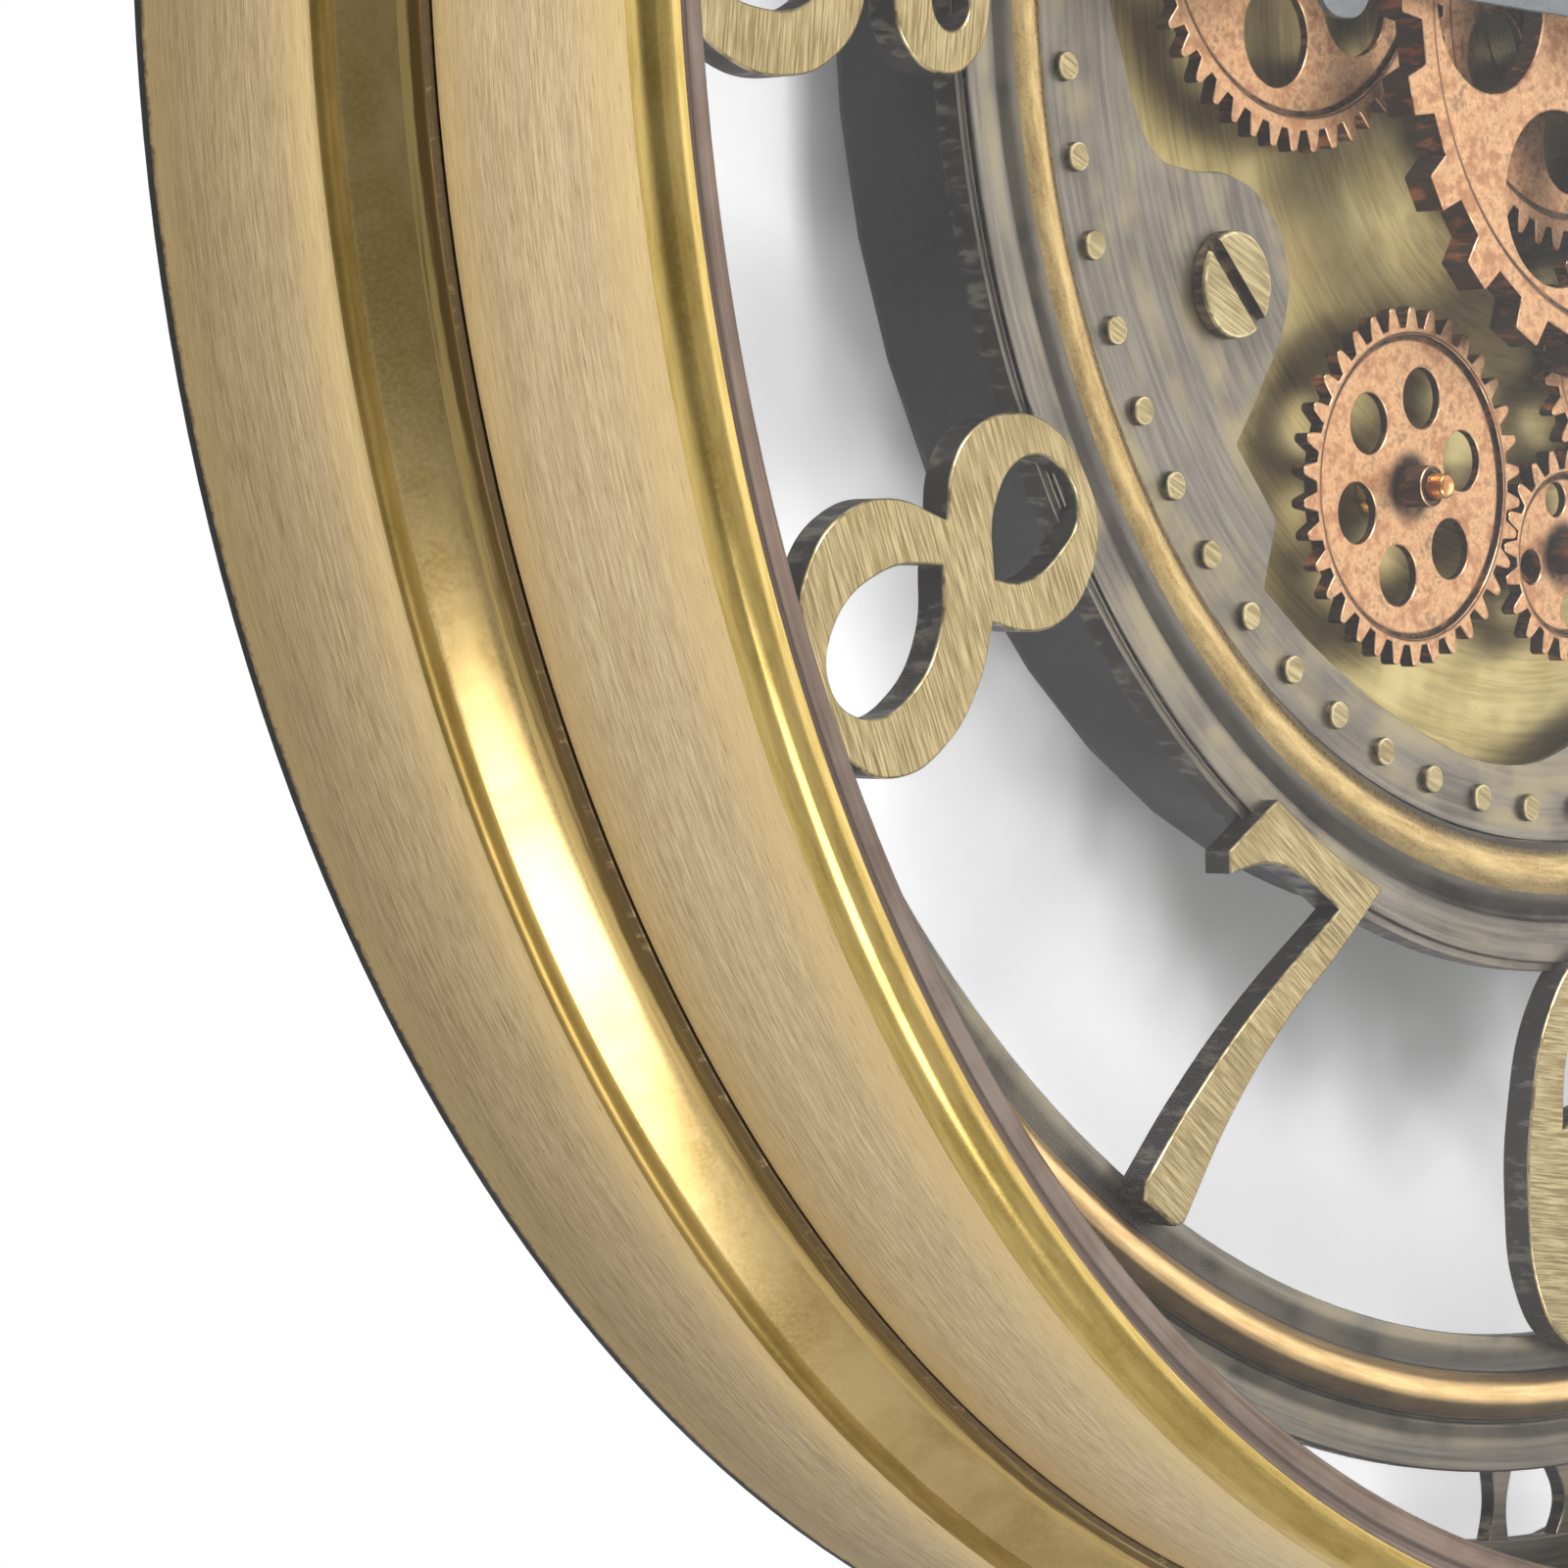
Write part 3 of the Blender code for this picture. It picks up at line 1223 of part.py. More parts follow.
def hanger_plate():
    """A plate across the top of the rear flange, with a keyhole for the wall hook."""
    half = HANGER_W / 2
    slot_end = hook_r - SLOT_LENGTH
    slot_top = hook_r - SLOT_HALF_W
    keyhole = (0, slot_end - KEYHOLE_R)
    slot = [
        (SLOT_HALF_W, slot_top), (SLOT_HALF_W, slot_end),
        *[around(KEYHOLE_R, math.radians(60 - 30 * i), keyhole) for i in range(11)],
        (-SLOT_HALF_W, slot_end), (-SLOT_HALF_W, slot_top),
        *[around(SLOT_HALF_W, math.radians(150 - 30 * i), (0, slot_top)) for i in range(5)],
    ]
    low = REAR_FLANGE_T + GAP
    flat(
        "hanger_plate", low, low + HANGER_T, STEEL,
        corners=[rectangle(-half, half, hanger_out_r - HANGER_TALL, hanger_out_r), slot],
    )


case_ring()
bezel_ring()
dial_outer_ring()
dial_inner_ring()
numerals()
rivet_plate()
back_plate()
drum()
gears()
centre_wheels()
centre_line()
hands()
quartz_movement()
drive_box()
battery_cover()
hanger_plate()
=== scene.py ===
# Gear wall clock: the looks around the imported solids.
# Shapes are made in the dial's own frame, X right, Y up and Z the height above the wall, and
# are then set in place. Metres throughout.
import math

import bmesh
import bpy
from mathutils import Matrix, Vector


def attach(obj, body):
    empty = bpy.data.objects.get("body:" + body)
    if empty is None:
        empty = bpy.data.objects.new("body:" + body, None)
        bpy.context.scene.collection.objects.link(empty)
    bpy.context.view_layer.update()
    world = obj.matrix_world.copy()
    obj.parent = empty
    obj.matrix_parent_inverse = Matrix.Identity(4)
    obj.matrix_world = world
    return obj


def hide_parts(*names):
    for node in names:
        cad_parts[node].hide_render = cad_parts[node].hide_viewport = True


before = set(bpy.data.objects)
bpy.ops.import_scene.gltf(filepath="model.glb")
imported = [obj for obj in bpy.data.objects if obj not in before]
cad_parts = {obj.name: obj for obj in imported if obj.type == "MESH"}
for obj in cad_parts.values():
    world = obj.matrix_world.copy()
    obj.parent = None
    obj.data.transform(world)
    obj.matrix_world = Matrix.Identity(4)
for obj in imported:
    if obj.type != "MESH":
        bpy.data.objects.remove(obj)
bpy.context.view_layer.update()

HOOK_R = 0.262
DIAL = Matrix.Translation((0, 0, -HOOK_R)) @ Matrix.Rotation(math.radians(90), 4, "X")

# Heights above the wall and radii, as in the solids
GAP = 0.0003
GROOVE_R = 0.286
GROOVE_H = 0.048
CREASE_R = 0.2958
CREASE_H = 0.0375
CASE_R = 0.2996
LINES_R = GROOVE_R + 0.0026
BEZEL_TOP = 0.091
LIP_H = 0.0882
LIP_IN_R = 0.2718
PANE_R = 0.2809
PANE_LOW = 0.083
PANE_TOP = 0.086
DIAL_H = 0.0437
BAND_IN_R = 0.233
BAND_R = 0.257
RIM_IN_R = 0.269
NUMERAL_LOW = 0.0433
NUMERAL_TOP = 0.0491
FOOT_IN_R = 0.1628
FOOT_OUT_R = 0.2368
INNER_FLANGE_H = 0.0465
RIVET_PLATE_LOW = 0.0425
RIVET_PLATE_TOP = 0.0437
RIVET_CIRCLE_R = 0.14
RIVET_R = 0.0024
SCREW_R = 0.009
SCREW_T = 0.0026
INNER_BEAD_IN_R = 0.146
BACK_PLATE_TOP = 0.036
COLLAR_T = 0.0017
DRUM_TOP = 0.0404
DRUM_LOW = 0.0133
DRUM_R = 0.1595
FINE_LOW = 0.042
FINE_TOP = 0.045
HUB_BORE_R = 0.0025
HUB_R = 0.0036
COARSE_LOW = 0.0503
COARSE_TOP = 0.0563
COARSE_ROOT_R = 0.0592
COARSE_TIP_R = 0.0646
COARSE_RIM_R = 0.0557
CENTRE_BORE_R = 0.0083
BOSS_R = 0.0115
BOSS_TOP = 0.0571
NUT_LOW = 0.0577
TUBE_TOP = 0.061
HOUR_LOW = 0.062
MINUTE_LOW = 0.0652
CAP_LOW = 0.0669
HAND_T = 0.0014
MODULE = 0.00173
MM = 0.001
RIVETS = 60
LIGHT = (1, 1, 1, 1)

pieces = bpy.data.collections.new("clock_looks")
bpy.context.scene.collection.children.link(pieces)


# Node helpers
class Tree:
    """Adds nodes to a material or a group and joins them."""

    def __init__(self, tree):
        self.tree = tree

    def add(self, kind, inputs=None, **settings):
        node = self.tree.nodes.new("ShaderNode" + kind)
        for key, value in settings.items():
            setattr(node, key, value)
        for key, value in (inputs or {}).items():
            self.feed(node.inputs[key], value)
        return node

    def feed(self, socket, value):
        if isinstance(value, bpy.types.NodeSocket):
            self.tree.links.new(value, socket)
        else:
            socket.default_value = value

    def maths(self, operation, first, second=0.0, third=0.0):
        node = self.add("Math", {0: first, 1: second, 2: third}, operation=operation)
        return node.outputs[0]

    def vector(self, operation, first, second=(0, 0, 0), scale=1.0):
        node = self.add("VectorMath", {0: first, 1: second, 3: scale}, operation=operation)
        return node.outputs[1 if operation in ("LENGTH", "DOT_PRODUCT") else 0]

    def ease(self, value, low, high, start=0.0, end=1.0):
        """A smooth step of a value from one level to another."""
        inputs = {"Value": value, "From Min": low, "From Max": high, "To Min": start, "To Max": end}
        return self.add("MapRange", inputs, interpolation_type="SMOOTHSTEP").outputs["Result"]

    def mix(self, share, first, second):
        node = self.add("Mix", data_type="RGBA")
        self.feed(node.inputs[0], share)
        self.feed(node.inputs[6], colour(first))
        self.feed(node.inputs[7], colour(second))
        return node.outputs[2]

    def either(self, share, first, second):
        """The second shader where the share is 1, and the first where it is 0."""
        return self.add("MixShader", {0: share, 1: first.outputs[0], 2: second.outputs[0]})

    def show(self, shader):
        output = self.tree.nodes["Material Output"]
        self.feed(output.inputs["Surface"], shader.outputs[0])

    def noise(self, place, scale=1.0, detail=2.0, roughness=0.5):
        inputs = {"Vector": place, "Scale": scale, "Detail": detail, "Roughness": roughness}
        return self.add("TexNoise", inputs).outputs["Fac"]

    def split(self, place):
        node = self.add("SeparateXYZ", {0: place})
        return node.outputs[0], node.outputs[1], node.outputs[2]

    def joined(self, x, y, z):
        return self.add("CombineXYZ", {0: x, 1: y, 2: z}).outputs[0]

    def use(self, group, **inputs):
        node = self.tree.nodes.new("ShaderNodeGroup")
        node.node_tree = group
        for key, value in inputs.items():
            self.feed(node.inputs[key.replace("_", " ").capitalize()], value)
        return node.outputs


def colour(value):
    """Red, green and blue as seen on a screen, from 0 to 255, or a socket left as it is."""
    if not isinstance(value, tuple) or len(value) == 4:
        return value
    linear = [((c / 255 + 0.055) / 1.055) ** 2.4 if c > 10 else c / 255 / 12.92 for c in value]
    return (*linear, 1)


def new_group(name, inputs, outputs):
    """An empty shader group. Its sockets are numbers, or vectors where the value is None."""
    group = bpy.data.node_groups.new(name, "ShaderNodeTree")
    for way, sockets in (("INPUT", inputs), ("OUTPUT", outputs)):
        for key, value in sockets.items():
            kind = "NodeSocketVector" if value is None else "NodeSocketFloat"
            socket = group.interface.new_socket(key, in_out=way, socket_type=kind)
            if value:
                socket.default_value = value
    start = group.nodes.new("NodeGroupInput")
    end = group.nodes.new("NodeGroupOutput")
    return group, Tree(group), start.outputs, end.inputs


def polar_group():
    """Distance from the axis, height along it and a point of the unit circle."""
    group, tree, given, out = new_group(
        "round_the_axis", {"Place": None}, {"Circle": None, "Radius": 0, "Height": 0})
    x, y, height = tree.split(given["Place"])
    flat = tree.joined(x, y, 0.0)
    tree.feed(out["Circle"], tree.vector("NORMALIZE", flat))
    tree.feed(out["Radius"], tree.vector("LENGTH", flat))
    tree.feed(out["Height"], height)
    return group


POLAR = polar_group()


def round_brush_group():
    """Fine brushed lines that run round the axis, with slow clouds among them."""
    group, tree, given, out = new_group(
        "brushed_round", {"Place": None, "Lines per metre": 900, "Turns": 6},
        {"Lines": 0, "Clouds": 0})
    polar = tree.use(POLAR, place=given["Place"])
    across = tree.maths("MULTIPLY_ADD", polar["Height"], 1.3, polar["Radius"])
    step = tree.maths("MULTIPLY", across, given["Lines per metre"])
    round_part = tree.vector("SCALE", polar["Circle"], scale=given["Turns"])
    lines = tree.noise(tree.vector("ADD", round_part, tree.joined(0.0, 0.0, step)), 1.0, 3.0, 0.65)
    wide = tree.joined(0.0, 0.0, tree.maths("MULTIPLY", step, 0.16))
    slow_part = tree.vector("SCALE", round_part, scale=0.4)
    clouds = tree.noise(tree.vector("ADD", slow_part, wide), 1.0, 2.0, 0.5)
    tree.feed(out["Lines"], lines)
    tree.feed(out["Clouds"], clouds)
    return group


def straight_brush_group():
    """Fine brushed lines along X, with slow clouds among them."""
    group, tree, given, out = new_group(
        "brushed_straight", {"Place": None, "Lines per metre": 1500, "Stretch": 25},
        {"Lines": 0, "Clouds": 0})
    x, y, height = tree.split(given["Place"])
    along = tree.maths("DIVIDE", x, given["Stretch"])
    step = tree.vector("SCALE", tree.joined(along, y, height), scale=given["Lines per metre"])
    tree.feed(out["Lines"], tree.noise(step, 1.0, 3.0, 0.65))
    tree.feed(out["Clouds"], tree.noise(given["Place"], 70.0, 3.0, 0.55))
    return group


def speck_group():
    """Small scattered specks, in patches."""
    group, tree, given, out = new_group(
        "specks", {"Place": None, "Specks per metre": 500, "Share": 0.2}, {"Mask": 0})
    cells = tree.add("TexVoronoi", {"Vector": given["Place"], "Scale": given["Specks per metre"]})
    dot = tree.ease(cells.outputs["Distance"], 0.05, 0.22, 1.0, 0.0)
    patch = tree.noise(given["Place"], 90.0, 2.0)
    low = tree.maths("SUBTRACT", 0.78, given["Share"])
    high = tree.maths("ADD", low, 0.12)
    tree.feed(out["Mask"], tree.maths("MULTIPLY", dot, tree.ease(patch, low, high)))
    return group


def band_group():
    """1 on a band of a value, fading to 0 at its edges."""
    group, tree, given, out = new_group(
        "band", {"Value": 0, "Middle": 0, "Half width": 1}, {"Mask": 0})
    away = tree.maths("ABSOLUTE", tree.maths("SUBTRACT", given["Value"], given["Middle"]))
    share = tree.maths("DIVIDE", away, given["Half width"])
    tree.feed(out["Mask"], tree.ease(share, 0.45, 1.0, 1.0, 0.0))
    return group


ROUND_BRUSH = round_brush_group()
STRAIGHT_BRUSH = straight_brush_group()
SPECKS = speck_group()
BAND = band_group()


def material(name, metallic, roughness, **constants):
    """A new material: its node helper, its shader and its output."""
    made = bpy.data.materials.new(name)
    made.use_nodes = True
    tree = Tree(made.node_tree)
    shader = made.node_tree.nodes["Principled BSDF"]
    shader.inputs["Metallic"].default_value = metallic
    shader.inputs["Roughness"].default_value = roughness
    for key, value in constants.items():
        shader.inputs[key.replace("_", " ").title()].default_value = value
    return made, tree, shader


def dial_place(tree, centre=(0, 0), turn=0.0):
    """Places counted from a point of the dial, turned about the dial's axis."""
    shift = Matrix.Rotation(turn, 2) @ Vector((-centre[0], HOOK_R - centre[1]))
    return tree.add("Mapping", {
        "Vector": tree.add("TexCoord").outputs["Object"], "Location": (shift.x, shift.y, 0),
        "Rotation": (math.radians(-90), 0, turn),
    }).outputs[0]


def set_surface(tree, shader, body, roughness, relief, depth):
    """Gives the shader its colour, its roughness and a relief of some depth in metres."""
    tree.feed(shader.inputs["Base Color"], body)
    tree.feed(shader.inputs["Roughness"], roughness)
    bump = tree.add("Bump", {"Height": relief, "Distance": depth, "Strength": 1.0})
    tree.feed(shader.inputs["Normal"], bump.outputs["Normal"])


def speckled(tree, body, place, per_metre, share, strength, tint):
    """A colour with specks of another over it."""
    specks = tree.use(SPECKS, place=place, specks_per_metre=per_metre, share=share)["Mask"]
    return tree.mix(tree.maths("MULTIPLY", specks, strength), body, tint)


def brushed_band(name, middle, half, pale, deep, edge_highlight, shade, painted_shade):
    """The wide brushed bands of the case and bezel: a painted highlight yellows the edges and
    painted shade darkens them to the rear and along the rear edge.
    """
    made, tree, shader = material(name, 1.0, 0.42)
    place = dial_place(tree)
    brush = tree.use(ROUND_BRUSH, place=place, lines_per_metre=1700, turns=12)
    fine = tree.use(ROUND_BRUSH, place=place, lines_per_metre=4200, turns=60)["Lines"]
    height = tree.use(POLAR, place=place)["Height"]
    grain = tree.maths("MULTIPLY_ADD", tree.maths("SUBTRACT", fine, 0.5), 1.5, brush["Lines"])
    body = tree.mix(tree.ease(grain, 0.22, 0.78), deep, pale)
    body = tree.mix(tree.ease(brush["Clouds"], 0.35, 0.7, 0.0, 0.35), body, (196, 172, 140))
    # Yellower towards the band's edges: a painted highlight where the band turns
    centre = tree.use(BAND, value=height, middle=middle, half_width=half)["Mask"]
    edge = tree.maths("SUBTRACT", 1.0, centre)
    body = tree.mix(tree.maths("MULTIPLY", edge, 0.7), body, edge_highlight)
    body = tree.mix(tree.ease(fine, 0.36, 0.28, 0.0, 0.6), body, (120, 98, 66))
    body = speckled(tree, body, place, 900, 0.14, 0.6, (92, 74, 48))
    rear = middle - half
    # Darker towards the rear: painted shade
    shaded = tree.ease(height, rear, rear + half * 1.6, shade, 0.0)
    body = tree.mix(shaded, body, (132, 108, 68))
    # A ragged dark line along the rear edge: painted shade
    ragged = tree.maths("MULTIPLY_ADD", tree.noise(place, 700.0, 3.0, 0.6), -0.0018, height)
    grime_and_shade = tree.ease(ragged, rear - 0.0002, rear + 0.0012, painted_shade, 0.0)
    body = tree.mix(grime_and_shade, body, (40, 34, 30))
    set_surface(tree, shader, body, tree.ease(fine, 0.2, 0.8, 0.50, 0.36), fine, 0.00002)
    return made


def satin_brass(name, pale, deep, roughness):
    """Satin brass with faint turned lines and a fine grain."""
    made, tree, shader = material(name, 1.0, roughness)
    place = dial_place(tree)
    lines = tree.use(ROUND_BRUSH, place=place, lines_per_metre=700, turns=14)["Lines"]
    fine = tree.noise(place, 1400.0, 2.0)
    body = tree.mix(tree.ease(lines, 0.3, 0.7), deep, pale)
    body = tree.mix(tree.ease(fine, 0.35, 0.7, 0.0, 0.25), body, pale)
    body = speckled(tree, body, place, 700, 0.08, 0.4, (110, 88, 45))
    rough = tree.ease(fine, 0.2, 0.8, roughness - 0.02, roughness + 0.03)
    set_surface(tree, shader, body, rough, lines, 0.000005)
    return made


def turned_lines(name, pale, deep):
    """The narrow lathe lines beside the groove."""
    made, tree, shader = material(name, 1.0, 0.35)
    place = dial_place(tree)
    polar = tree.use(POLAR, place=place)
    across = tree.maths("ADD", polar["Height"], polar["Radius"])
    waves = tree.maths("SINE", tree.maths("MULTIPLY", across, 5200))
    lines = tree.use(ROUND_BRUSH, place=place, lines_per_metre=1800, turns=5)["Lines"]
    level = tree.maths("MULTIPLY_ADD", waves, 0.16, lines)
    body = tree.mix(tree.ease(level, 0.35, 0.7), deep, pale)
    set_surface(tree, shader, body, 0.35, level, 0.00004)
    return made


def aged_ring(name, pale, deep, streak, roughness=0.42, painted_shade=()):
    """Dark bronzed ring with warm streaks round it, and painted shade in the recesses at some
    radii.
    """
    made, tree, shader = material(name, 1.0, roughness)
    place = dial_place(tree)
    radius = tree.use(POLAR, place=place)["Radius"]
    brush = tree.use(ROUND_BRUSH, place=place, lines_per_metre=900, turns=5)
    cloud = tree.noise(place, 60.0, 3.0, 0.6)
    body = tree.mix(tree.ease(brush["Lines"], 0.3, 0.7), deep, pale)
    patches = tree.ease(cloud, 0.35, 0.6)
    warm = tree.maths("MULTIPLY", tree.ease(brush["Clouds"], 0.42, 0.62), patches)
    body = tree.mix(tree.maths("MULTIPLY", warm, 0.75), body, streak)
    body = speckled(tree, body, place, 650, 0.18, 0.6, (50, 46, 42))
    # Painted shade in the recesses at the given radii
    for middle, half in painted_shade:
        recess = tree.use(BAND, value=radius, middle=middle, half_width=half)["Mask"]
        grime_and_shade = tree.maths("MULTIPLY", recess, tree.ease(cloud, 0.25, 0.6, 0.95, 0.65))
        body = tree.mix(grime_and_shade, body, (46, 42, 38))
    rough = tree.ease(cloud, 0.3, 0.7, roughness + 0.08, roughness - 0.08)
    set_surface(tree, shader, body, rough, brush["Lines"], 0.000012)
    return made


def brushed_face(name, pale, deep, turn):
    """A flat face brushed one way, with slow clouds and a few dark scratches."""
    made, tree, shader = material(name, 1.0, 0.4)
    place = dial_place(tree, turn=turn)
    brush = tree.use(STRAIGHT_BRUSH, place=place, lines_per_metre=2200, stretch=22)
    body = tree.mix(tree.ease(brush["Lines"], 0.36, 0.64), deep, pale)
    body = tree.mix(tree.ease(brush["Clouds"], 0.4, 0.75, 0.0, 0.4), body, deep)
    scratch = tree.use(STRAIGHT_BRUSH, place=place, lines_per_metre=1500, stretch=9)["Lines"]
    body = tree.mix(tree.ease(scratch, 0.72, 0.8, 0.0, 0.5), body, (70, 62, 44))
    rough = tree.ease(brush["Lines"], 0.2, 0.8, 0.46, 0.34)
    set_surface(tree, shader, body, rough, brush["Lines"], 0.000008)
    return made


def worn_edge(name, bright, dull, roughness=0.3):
    """A rubbed edge: bright metal showing through in patches."""
    made, tree, shader = material(name, 1.0, roughness)
    patch = tree.noise(dial_place(tree), 260.0, 3.0, 0.6)
    body = tree.mix(tree.ease(patch, 0.38, 0.55), dull, bright)
    rough = tree.ease(patch, 0.3, 0.7, roughness + 0.15, roughness)
    set_surface(tree, shader, body, rough, patch, 0.00002)
    return made


def dark_wall(name, dark, rubbed, share):
    """A cut side wall: dark finish, rubbed in specks and strokes; used in the groove, the dark is
    painted shade.
    """
    made, tree, shader = material(name, 0.85, 0.5)
    flattened = tree.vector("MULTIPLY", dial_place(tree), (1, 1, 0.35))
    strokes = tree.noise(flattened, 420.0, 4.0, 0.65)
    body = tree.mix(tree.ease(strokes, 0.86 - share, 1.0 - share, 0.0, 0.8), dark, rubbed)
    set_surface(tree, shader, body, tree.ease(strokes, 0.3, 0.7, 0.6, 0.38), strokes, 0.00003)
    return made


def gear_face(name, centre, rim_r, hub_r):
    """Copper with dark patina in the step of the rim and round the hub, mottled between."""
    made, tree, shader = material(name, 1.0, 0.4)
    place = dial_place(tree, centre)
    radius = tree.use(POLAR, place=place)["Radius"]
    mottle = tree.noise(place, 260.0, 5.0, 0.68)
    fine = tree.noise(place, 1200.0, 2.0, 0.6)
    body = tree.mix(tree.ease(mottle, 0.36, 0.62), COPPER_DEEP, COPPER_PALE)
    groove = tree.use(BAND, value=radius, middle=rim_r, half_width=0.0011)["Mask"]
    hub = tree.ease(radius, hub_r + 0.0008, hub_r + 0.0042, 1.0, 0.0)
    grime_and_shade = tree.maths("MULTIPLY_ADD", mottle, 1.1, tree.maths("MULTIPLY", fine, 0.3))
    dark = tree.maths("MAXIMUM", groove, hub)
    dark = tree.maths("MULTIPLY", dark, tree.ease(grime_and_shade, 0.3, 0.8, 0.25, 1.0))
    dark = tree.maths("MAXIMUM", dark, tree.ease(grime_and_shade, 0.68, 0.92, 0.0, 0.55))
    body = tree.mix(dark, body, PATINA)
    body = speckled(tree, body, place, 1100, 0.42, 0.7, PATINA)
    relief = tree.maths("MULTIPLY_ADD", fine, 0.2, mottle)
    set_surface(tree, shader, body, tree.ease(grime_and_shade, 0.3, 1.1, 0.36, 0.6), relief, 0.00003)
    return made


def painted(name, base, grain, roughness, metallic=0.0, scale=900.0):
    """A plain painted or moulded finish with a fine grain and faint rubbing."""
    made, tree, shader = material(name, metallic, roughness)
    place = dial_place(tree)
    fine = tree.noise(place, scale, 3.0, 0.6)
    slow = tree.noise(place, 45.0, 3.0, 0.5)
    body = tree.mix(tree.ease(fine, 0.35, 0.75), base, grain)
    body = tree.mix(tree.ease(slow, 0.5, 0.75, 0.0, 0.35), body, grain)
    rough = tree.ease(slow, 0.3, 0.7, roughness - 0.08, roughness + 0.08)
    set_surface(tree, shader, body, rough, fine, 0.000006)
    return made


def clear_glass(name):
    """Clear glass that lets the lamps through, with a little dust."""
    made, tree, shader = material(name, 0.0, 0.02, Transmission_Weight=1.0)
    # Lower than in real glass, to hold back the lamps' haze over the dial
    shader.inputs["IOR"].default_value = 1.2
    shader.inputs["Specular Tint"].default_value = (0.3, 0.3, 0.3, 1)
    body = speckled(tree, WHITE, dial_place(tree), 260, 0.16, 0.5, (225, 225, 222))
    tree.feed(shader.inputs["Base Color"], body)
    path = tree.add("LightPath").outputs
    passing = tree.maths("MAXIMUM", path["Is Shadow Ray"], path["Is Diffuse Ray"])
    tree.show(tree.either(passing, shader, tree.add("BsdfTransparent")))
    return made


# Finishes
WHITE = (255, 255, 255)
COPPER_PALE = (234, 188, 142)
COPPER_DEEP = (172, 124, 88)
PATINA = (52, 38, 31)
# The last two numbers set the painted shade: towards the rear, and along the rear edge
CASE_BAND = brushed_band("case_band", 0.0180, 0.0175, (216, 192, 150), (174, 149, 110),
                         (222, 196, 140), 0.30, 0.85)
BEZEL_BAND = brushed_band("bezel_band", 0.0658, 0.0178, (228, 206, 164), (190, 166, 126),
                          (226, 200, 144), 0.1, 0.15)
# A darker brass on the crest of the case: painted shade for the dull line where it turns
SHADED_CREST = satin_brass("crest_brass_shaded", (170, 142, 82), (142, 118, 62), 0.34)
COVE = satin_brass("cove_brass", (208, 182, 126), (178, 151, 94), 0.22)
ROLL = satin_brass("roll_brass", (208, 181, 112), (174, 147, 79), 0.23)
BEAD = satin_brass("bead_brass", (198, 172, 118), (152, 126, 78), 0.28)
OUTER_BEAD = satin_brass("outer_bead_brass", (238, 202, 142), (194, 158, 104), 0.32)
GROOVE_LINES = turned_lines("groove_lines", (206, 177, 114), (118, 95, 58))
LIP = aged_ring("lip_bronze", (132, 114, 102), (102, 87, 77), (126, 114, 106), 0.36)
# The radii are the groove by the inner bead and both sides of the outer bead: painted shade
RING = aged_ring("ring_bronze", (138, 131, 120), (101, 96, 89), (156, 144, 116),
                 painted_shade=[(0.1584, 0.0030), (0.2380, 0.0036), (0.2494, 0.0026)])
PLATE = aged_ring("plate_bronze", (142, 134, 123), (110, 104, 96), (160, 147, 114), 0.46)
BACK_PLATE = aged_ring("back_plate_brass", (192, 173, 118), (162, 144, 94), (198, 182, 130),
                       0.44)
STUD_FACE = brushed_face("stud_face", (188, 172, 130), (138, 122, 84), math.radians(25))
STEEL = brushed_face("zinc_steel", (168, 168, 166), (136, 136, 134), 0.0)
NUMERAL_EDGE = worn_edge("numeral_edge", (208, 194, 150), (132, 120, 84))
STUD_EDGE = worn_edge("stud_edge", (214, 200, 156), (150, 136, 98))
GEAR_EDGE = worn_edge("gear_edge", (252, 210, 172), (190, 134, 98))
POST = worn_edge("post_brass", (240, 196, 130), (176, 120, 72), 0.22)
NUT = worn_edge("nut_brass", (222, 190, 120), (150, 120, 70))
# Darker brass in the groove between case and bezel: painted shade
GROOVE_SHADE = dark_wall("groove_shade", (112, 92, 64), (160, 136, 92), 0.3)
NUMERAL_WALL = dark_wall("numeral_wall", (61, 58, 56), (112, 105, 94), 0.36)
STUD_WALL = dark_wall("stud_wall", (58, 52, 46), (120, 104, 76), 0.4)
GEAR_WALL = dark_wall("gear_wall", (62, 50, 44), (150, 96, 66), 0.36)
REAR_EDGE = painted("rear_edge", (22, 20, 20), (40, 38, 36), 0.5)
INSIDE = painted("inside_paint", (52, 50, 48), (70, 68, 64), 0.6)
DRUM = painted("drum_paint", (22, 22, 27), (30, 30, 35), 0.5, scale=400.0)
BACK_PAINT = painted("back_paint", (50, 50, 54), (66, 66, 70), 0.5, scale=400.0)
HAND = painted("hand_grey", (104, 108, 112), (120, 124, 127), 0.42, 0.5)
RUBBER = painted("black_rubber", (28, 28, 28), (44, 44, 44), 0.75)
BLACK_PLASTIC = painted("moulded_black", (30, 30, 31), (48, 48, 49), 0.5, scale=1600.0)
WHITE_PLASTIC = painted("moulded_white", (224, 222, 214), (208, 205, 196), 0.35, scale=1600.0)
CELL_SLEEVE = painted("cell_sleeve", (58, 96, 66), (72, 112, 78), 0.3, 0.3)
GLASS = clear_glass("clear_glass")


